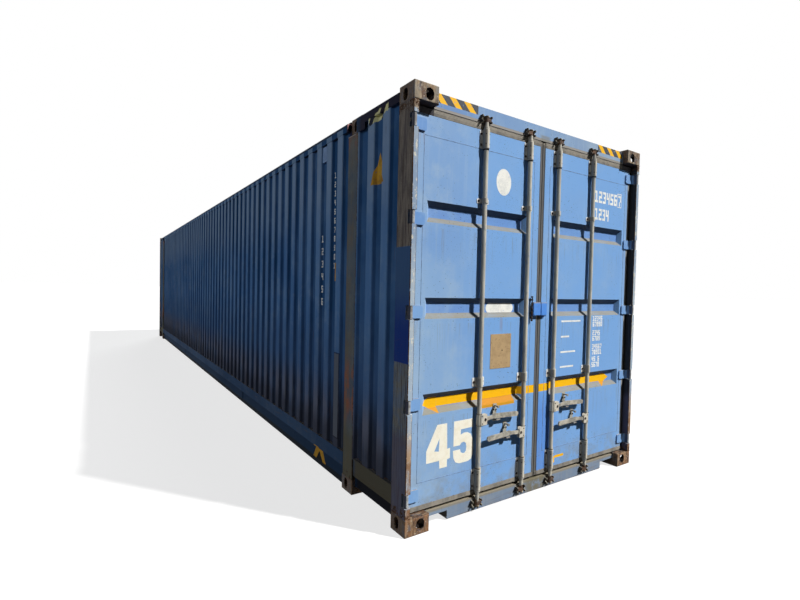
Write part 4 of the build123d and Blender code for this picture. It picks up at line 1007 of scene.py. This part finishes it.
# weld beads round the panels and hinge blades, and on the frame
for side, sign in SIDES.items():
    beads = Piece()
    rim = [(90, 312), (1125, 312), (1125, 2592), (90, 2592), (90, 312)]
    beads.bead([on_door(sign * u, v, 0.0) for u, v in rim], 2.6, 8.0, 3, 0.6)
    for height in HINGE_HEIGHTS:
        z0, z1 = height - 40, height + 40
        edge = [(1184, z0), (1130, z0), (1118, z0 + 12), (1118, z1 - 12), (1130, z1), (1184, z1)]
        beads.bead([on_door(sign * u, v, 0.5) for u, v in edge], 3.4, 6.0, height, 0.8)
    beads.done(f"{side}_leaf_welds", f"{side}_door", "weld", True)

frame_beads = Piece()
for sign in SIDES.values():
    frame_beads.bead([on_door(sign * 1057, z, 4.0, 55.0) for z in (2778, 2878)], 4.0, 7.0, 1, 0.8)
    frame_beads.bead([on_door(sign * 1057, z, 3.0, 55.0) for z in (74, 120)], 3.6, 7.0, 2, 0.5)
    for end in (-1, 1):
        for z in (118.0, 2778.0):
            path = [(sign * 1.2475, end * y, z * MM) for y in (-DOOR_END, -DOOR_END - 0.163)]
            frame_beads.bead(path, 3.6, 7.0, z, 0.6, (sign, 0, 0))
frame_beads.done("frame_welds", "container", "side_weld", True)

# bent plates that close the notches of the sill at the back and at the side; their dark underbody coat also
# stands in for the shade seen through the notches
backs = Piece()
for sign in SIDES.values():
    for (x0, x1), (y0, y1), (z0, z1) in (
        ((858, 1064), (180, 185), (12, 104)),
        ((858, 1064), (164, 180), (104, 108)),
        ((863, 869), (62, 176), (13, 71)),
        ((858, 863), (62, 185), (12, 17)),
    ):
        left, right = sorted((sign * x0, sign * x1))
        backs.block(at(left, y0, z0), at(right, y1, z1))
backs.done("sill_notch_plates", "container", "cross_members", False, 0.6)

# weld beads at the seams between the side sheets
seams = Piece()
for sign in SIDES.values():
    for depth in range(1949, 12600, 216 * 5):
        seams.bead([on_side(depth, z, -0.6, sign) for z in (292, 2802)], 2.0, 12.0, depth, 0.8, (sign, 0, 0))
seams.done("sheet_seams", "container", "side_weld", True)

# forged claws of the keepers, in place of their plain blocks
JAW = [
    (55, 0), (25, 0), (19, 3), (16.5, 8), (18, 12.5), (24, 14), (32, 16.5), (35.5, 21), (35.5, 27),
    (32, 31.5), (24, 34), (18, 35.5), (15.6, 40), (17, 46), (23, 50), (55, 50),
]
claws = Piece()
for sign in SIDES.values():
    for offset in BARS.values():
        for start, way in ((2772.0, 1), (88.0, -1)):
            def claw_map(u, v, h, x=sign * offset, start=start, way=way):
                return at(x + h, 55 - (55 - u) * 0.8, start + way * v)
            claws.slab([(55, 0.5), (51.5, 0.5), (51.5, 49.5), (55, 49.5)], claw_map, -46.0, 46.0)
            claws.slab(JAW, claw_map, 38.0, 45.0)
            claws.slab(JAW, claw_map, -45.0, -38.0)
            claws.slab([(55, 42.6), (44, 42.6), (41, 45), (41, 49), (44, 50), (55, 50)], claw_map, -39, 39)
            for hand in (-1, 1):
                for u, v, radius in ((22.5, 42.0, 6.0), (23.0, 7.0, 5.0)):
                    boss = [(0, radius), (3.6, radius), (5.4, radius * 0.8), (6.2, radius * 0.4)]
                    claws.turned(claw_map(u, v, hand * 41.5), DOOR_OUT, boss, 12)
claw_piece = claws.done("keeper_claws", "container", "cam_keepers", False, 1.0)
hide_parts("cam_keepers")

# lips of the door seals, between the leaves and round their edges
UPRIGHT_LIP = [
    (29.4, 68.2), (29.4, 62.4), (26, 60.8), (21, 63.2), (16, 61.2), (11, 63.2), (6.5, 61.6), (3.4, 64.5),
    (4.6, 68.2),
]
LEVEL_LIP = [
    (-0.4, 68.2), (-0.2, 60.5), (2, 59.8), (12, 59.0), (24, 58.0), (36, 57.0), (39, 57.2), (39.8, 58.2),
    (39.9, 68.2),
]
for side, sign in SIDES.items():
    lips = Piece()
    lips.slab(UPRIGHT_LIP, lambda u, v, h: at(sign * u, v, h), 125.0, 2763.0)
    lips.slab(LEVEL_LIP, lambda u, v, h: at(sign * h, v, 2725.0 + u), 29.0, 1196.0)
    lips.slab(LEVEL_LIP, lambda u, v, h: at(sign * h, v, 159.0 - u * 0.8), 29.0, 1196.0)
    lips.done(f"{side}_gasket_lips", f"{side}_door", "gasket")

# hinge pin of the lap plate with ball ends and its knuckles
SHAFT = [
    (-98, 3.0), (-96, 7.0), (-91, 8.6), (-86, 7.0), (-83, 4.8),
    (83, 4.8), (86, 7.0), (91, 8.6), (96, 7.0), (98, 3.0),
]
lap_pin = Piece()
lap_pin.turned(at(-90.5, 44.5, 1461), (0, 0, 1), SHAFT)
for level in (1414.0, 1449.0, 1484.0):
    lap_pin.turned(at(-90.5, 44.5, level), (0, 0, 1), [(0, 7.0), (0.8, 8.2), (23.2, 8.2), (24, 7.0)])
for level in (1386.0, 1524.0):
    lap_pin.block(on_door(-96.0, level, 20.0), on_door(-84.0, level + 12.0, -1.0))
lap_pin.done("lap_hinge_pin", "left_door", "dark_rust", True)

# rusty pin heads of the hinges
pins = Piece()
for sign in SIDES.values():
    for height in HINGE_HEIGHTS:
        for way in (-1, 1):
            place = at(sign * 1232, 17.5, height + way * 40.5)
            pins.turned(place, (0, 0, way), [(0, 12.5), (2.0, 12.5), (3.0, 11.0)])
pins.done("hinge_pin_collars", "container", "hinge_pins", True)

# digits on a grid of 3 by 5 squares
DIGITS = {
    "0": "111 101 101 101 111",
    "1": "110 010 010 010 111",
    "2": "111 001 111 100 111",
    "3": "111 001 011 001 111",
    "4": "101 101 111 001 001",
    "5": "111 100 111 001 111",
    "6": "111 100 111 101 111",
    "7": "111 001 001 010 010",
    "8": "111 101 111 101 111",
    "9": "111 101 111 001 111",
    ".": "",
}


def digits(piece, text, u, v, height, pitch, where=on_door):
    """Block digits, the first with its top left corner at u, v."""
    cell_v = height / 5
    cell_u = height * pitch * 0.78 / 3
    for letter in text:
        for row, line in enumerate(DIGITS[letter].split()):
            for run in re.finditer("1+", line):
                u0, u1 = u + run.start() * cell_u, u + run.end() * cell_u
                piece.tile(u0, v - (row + 1) * cell_v, u1, v - row * cell_v, where)
        u += height * pitch


numbers = Piece()
for outline in (
    [(-965, 678), (-945, 581), (-986, 499), (-1053, 510)],
    [(-965, 678), (-883, 678), (-877, 499), (-948, 493), (-945, 581)],
    [
        (-1053, 510), (-986, 499), (-948, 493), (-877, 499), (-852, 502), (-851, 431),
        (-876, 427), (-877, 375), (-940, 374), (-944, 429), (-1052, 427),
    ],
    [
        (-822, 680), (-652, 680), (-650, 618), (-758, 616), (-762, 578), (-730, 588), (-700, 588),
        (-668, 572), (-650, 535), (-642, 480), (-645, 420), (-662, 390), (-690, 378), (-769, 377),
        (-802, 390), (-820, 420), (-826, 475), (-763, 476), (-756, 454), (-740, 444), (-722, 444),
        (-709, 458), (-706, 486), (-711, 512), (-729, 524), (-751, 520), (-766, 504), (-823, 504),
    ],
):
    numbers.slab(outline[::-1], on_door, BURIED, PAINT)
numbers.done("length_digits", "left_door", "cream")

disc = Piece()
ring = [(-412 + 74 * math.cos(a), 2391 + 97 * math.sin(a)) for a in [math.tau * n / 40 for n in range(40)]]
disc.slab(ring, on_door, BURIED, PAINT)
disc.done("plain_disc", "left_door", "white")

pill = Piece()
caps = []
for centre, start in ((-249 - 37, -math.pi / 2), (-527 + 37, math.pi / 2)):
    angles = [start + math.pi * n / 8 for n in range(9)]
    caps += [(centre + 37 * math.cos(a), 1467.0 + 37 * math.sin(a)) for a in angles]
pill.slab(caps, lambda u, v, h: on_door(u, v, h, RECESS_DEPTH), BURIED, PAINT)
pill.done("plain_label", "left_door", "white")

plate = Piece()
plate.tile(-502, 1020, -295, 1275, on_door, BURIED, 2.0)
for u in (-492, -398.5, -305):
    for v in (1030, 1265):
        plate.rivet(on_door(u, v, 2.0), 4.0)
for v in (1060, 1095, 1130, 1165, 1200, 1235):
    plate.tile(-486, v, -311, v + 2.2, on_door, 1.9, 2.6)
plate.done("blank_plate", "left_door", "tan", False, 0.4)

rows = Piece()
digits(rows, "123456", 678, 2486, 101, 0.55)
digits(rows, "7", 1020, 2484, 96, 0.55)
for u0, v0, u1, v1 in (
    (1006, 2494, 1070, 2500), (1006, 2376, 1070, 2382), (1006, 2382, 1010, 2494), (1066, 2382, 1070, 2494),
):
    rows.tile(u0, v0, u1, v1, on_door, BURIED, 0.5)
digits(rows, "1234", 686, 2334, 99, 0.52)
for top, first, second in (
    (1392, "12345", "67890"), (1266, "2345", "6789"), (1144, "34567", "78901"), (1034, "45.6", "5678"),
):
    digits(rows, first, 704, top, 43, 0.66)
    digits(rows, second, 704, top - 50, 43, 0.66)
for v, length in ((1354, 250), (1226, 105), (1098, 190), (974, 170)):
    rows.tile(282, v - 7, 282 + length, v + 7, on_door, BURIED, 0.5)
rows.done("number_rows", "right_door", "white")

column = Piece()
for step, letter in enumerate("12345678901"):
    digits(column, letter, -1176.0 + step, 2530.0 - step * 74, 46, 0.62, on_left_side)
for step, letter in enumerate("123456"):
    digits(column, letter, -1425.0 + step * 2, 2034.0 - step * 108, 60, 0.7, on_left_side)
column.done("side_digits", "container", "side_white")


def seen_rays(tree):
    """1 for camera, glossy and transmission rays, 0 for the rest."""
    path = tree.nodes.new("ShaderNodeLightPath")
    camera_ray, glossy_ray, through_ray = (
        Value(tree, path.outputs[f"Is {kind} Ray"]) for kind in ("Camera", "Glossy", "Transmission")
    )
    return camera_ray | glossy_ray | through_ray


def stage_floor():
    """Pale floor that shows white to the camera and keeps a soft shadow."""
    bpy.ops.mesh.primitive_plane_add(size=400.0, location=(0, 0, -0.0005))
    floor = bpy.context.object
    floor.name = "studio_floor"
    material = bpy.data.materials.new("studio_floor")
    material.use_nodes = True
    tree = material.node_tree
    tree.nodes.clear()
    seen = seen_rays(tree)
    tone = add_node(tree, "MapRange", {"Value": seen, "To Min": 0.04, "To Max": 0.9})
    matt = add_node(tree, "BsdfDiffuse", {"Color": tone})
    glow = add_node(tree, "Emission", {"Color": (1, 1, 1, 1), "Strength": 1.2})
    blend = add_node(tree, "MixShader", {0: seen * 0.62, 1: matt, 2: glow})
    add_node(tree, "OutputMaterial", {"Surface": blend})
    floor.data.materials.append(material)


def stage_world(strength):
    """White to camera, glossy and transmission rays, dim for lighting."""
    world = bpy.data.worlds.new("studio_world")
    bpy.context.scene.world = world
    world.use_nodes = True
    tree = world.node_tree
    tree.nodes.clear()
    level = add_node(tree, "MapRange", {"Value": seen_rays(tree), "To Min": strength, "To Max": 1.0})
    back = add_node(tree, "Background", {"Color": (1, 1, 1, 1), "Strength": level})
    add_node(tree, "OutputWorld", {"Surface": back})


def lamp(name, toward, strength, spread, colour):
    """A sun lamp that shines from the given direction."""
    data = bpy.data.lights.new(name, "SUN")
    data.energy = strength
    data.angle = math.radians(spread)
    data.color = colour
    light = bpy.data.objects.new(name, data)
    light.rotation_mode = "QUATERNION"
    light.rotation_quaternion = Vector(toward).to_track_quat("Z", "Y")
    bpy.context.scene.collection.objects.link(light)


def camera():
    """The photograph's viewpoint, in the frame of the part."""
    wide, high = 800.0, 600.0
    focal, centre_x, centre_y = 474.1358, 434.2818, 302.3423
    yaw, pitch, roll = 0.6243, -0.0287, 0.0240
    forward = Vector((math.sin(yaw) * math.cos(pitch), math.cos(yaw) * math.cos(pitch), math.sin(pitch)))
    right = Vector((math.cos(yaw), -math.sin(yaw), 0))
    up = right.cross(forward)
    across = right * math.cos(roll) + up * math.sin(roll)
    upward = up * math.cos(roll) - right * math.sin(roll)
    data = bpy.data.cameras.new("camera")
    data.sensor_fit = "HORIZONTAL"
    data.sensor_width = 36.0
    data.lens = focal * data.sensor_width / wide
    data.shift_x = (wide / 2 - centre_x) / wide
    data.shift_y = (centre_y - high / 2) / wide
    data.clip_end = 500.0
    view = bpy.data.objects.new("camera", data)
    turn = Matrix((across, upward, -forward)).transposed().to_4x4()
    view.matrix_world = Matrix.Translation((-2.8586, -9.3558, 1.5981)) @ turn
    bpy.context.scene.collection.objects.link(view)
    bpy.context.scene.camera = view


stage_floor()
stage_world(0.01)
lamp("key", (0.75, -1.0, 1.25), 5.1, 2.0, (1.0, 0.985, 0.96))
lamp("fill", (-1.0, 0.05, 0.3), 0.75, 30.0, (0.92, 0.96, 1.0))
lamp("back", (0.35, 1.0, 0.6), 1.4, 20.0, (0.96, 0.98, 1.0))
camera()
bpy.context.scene.view_settings.view_transform = "Standard"
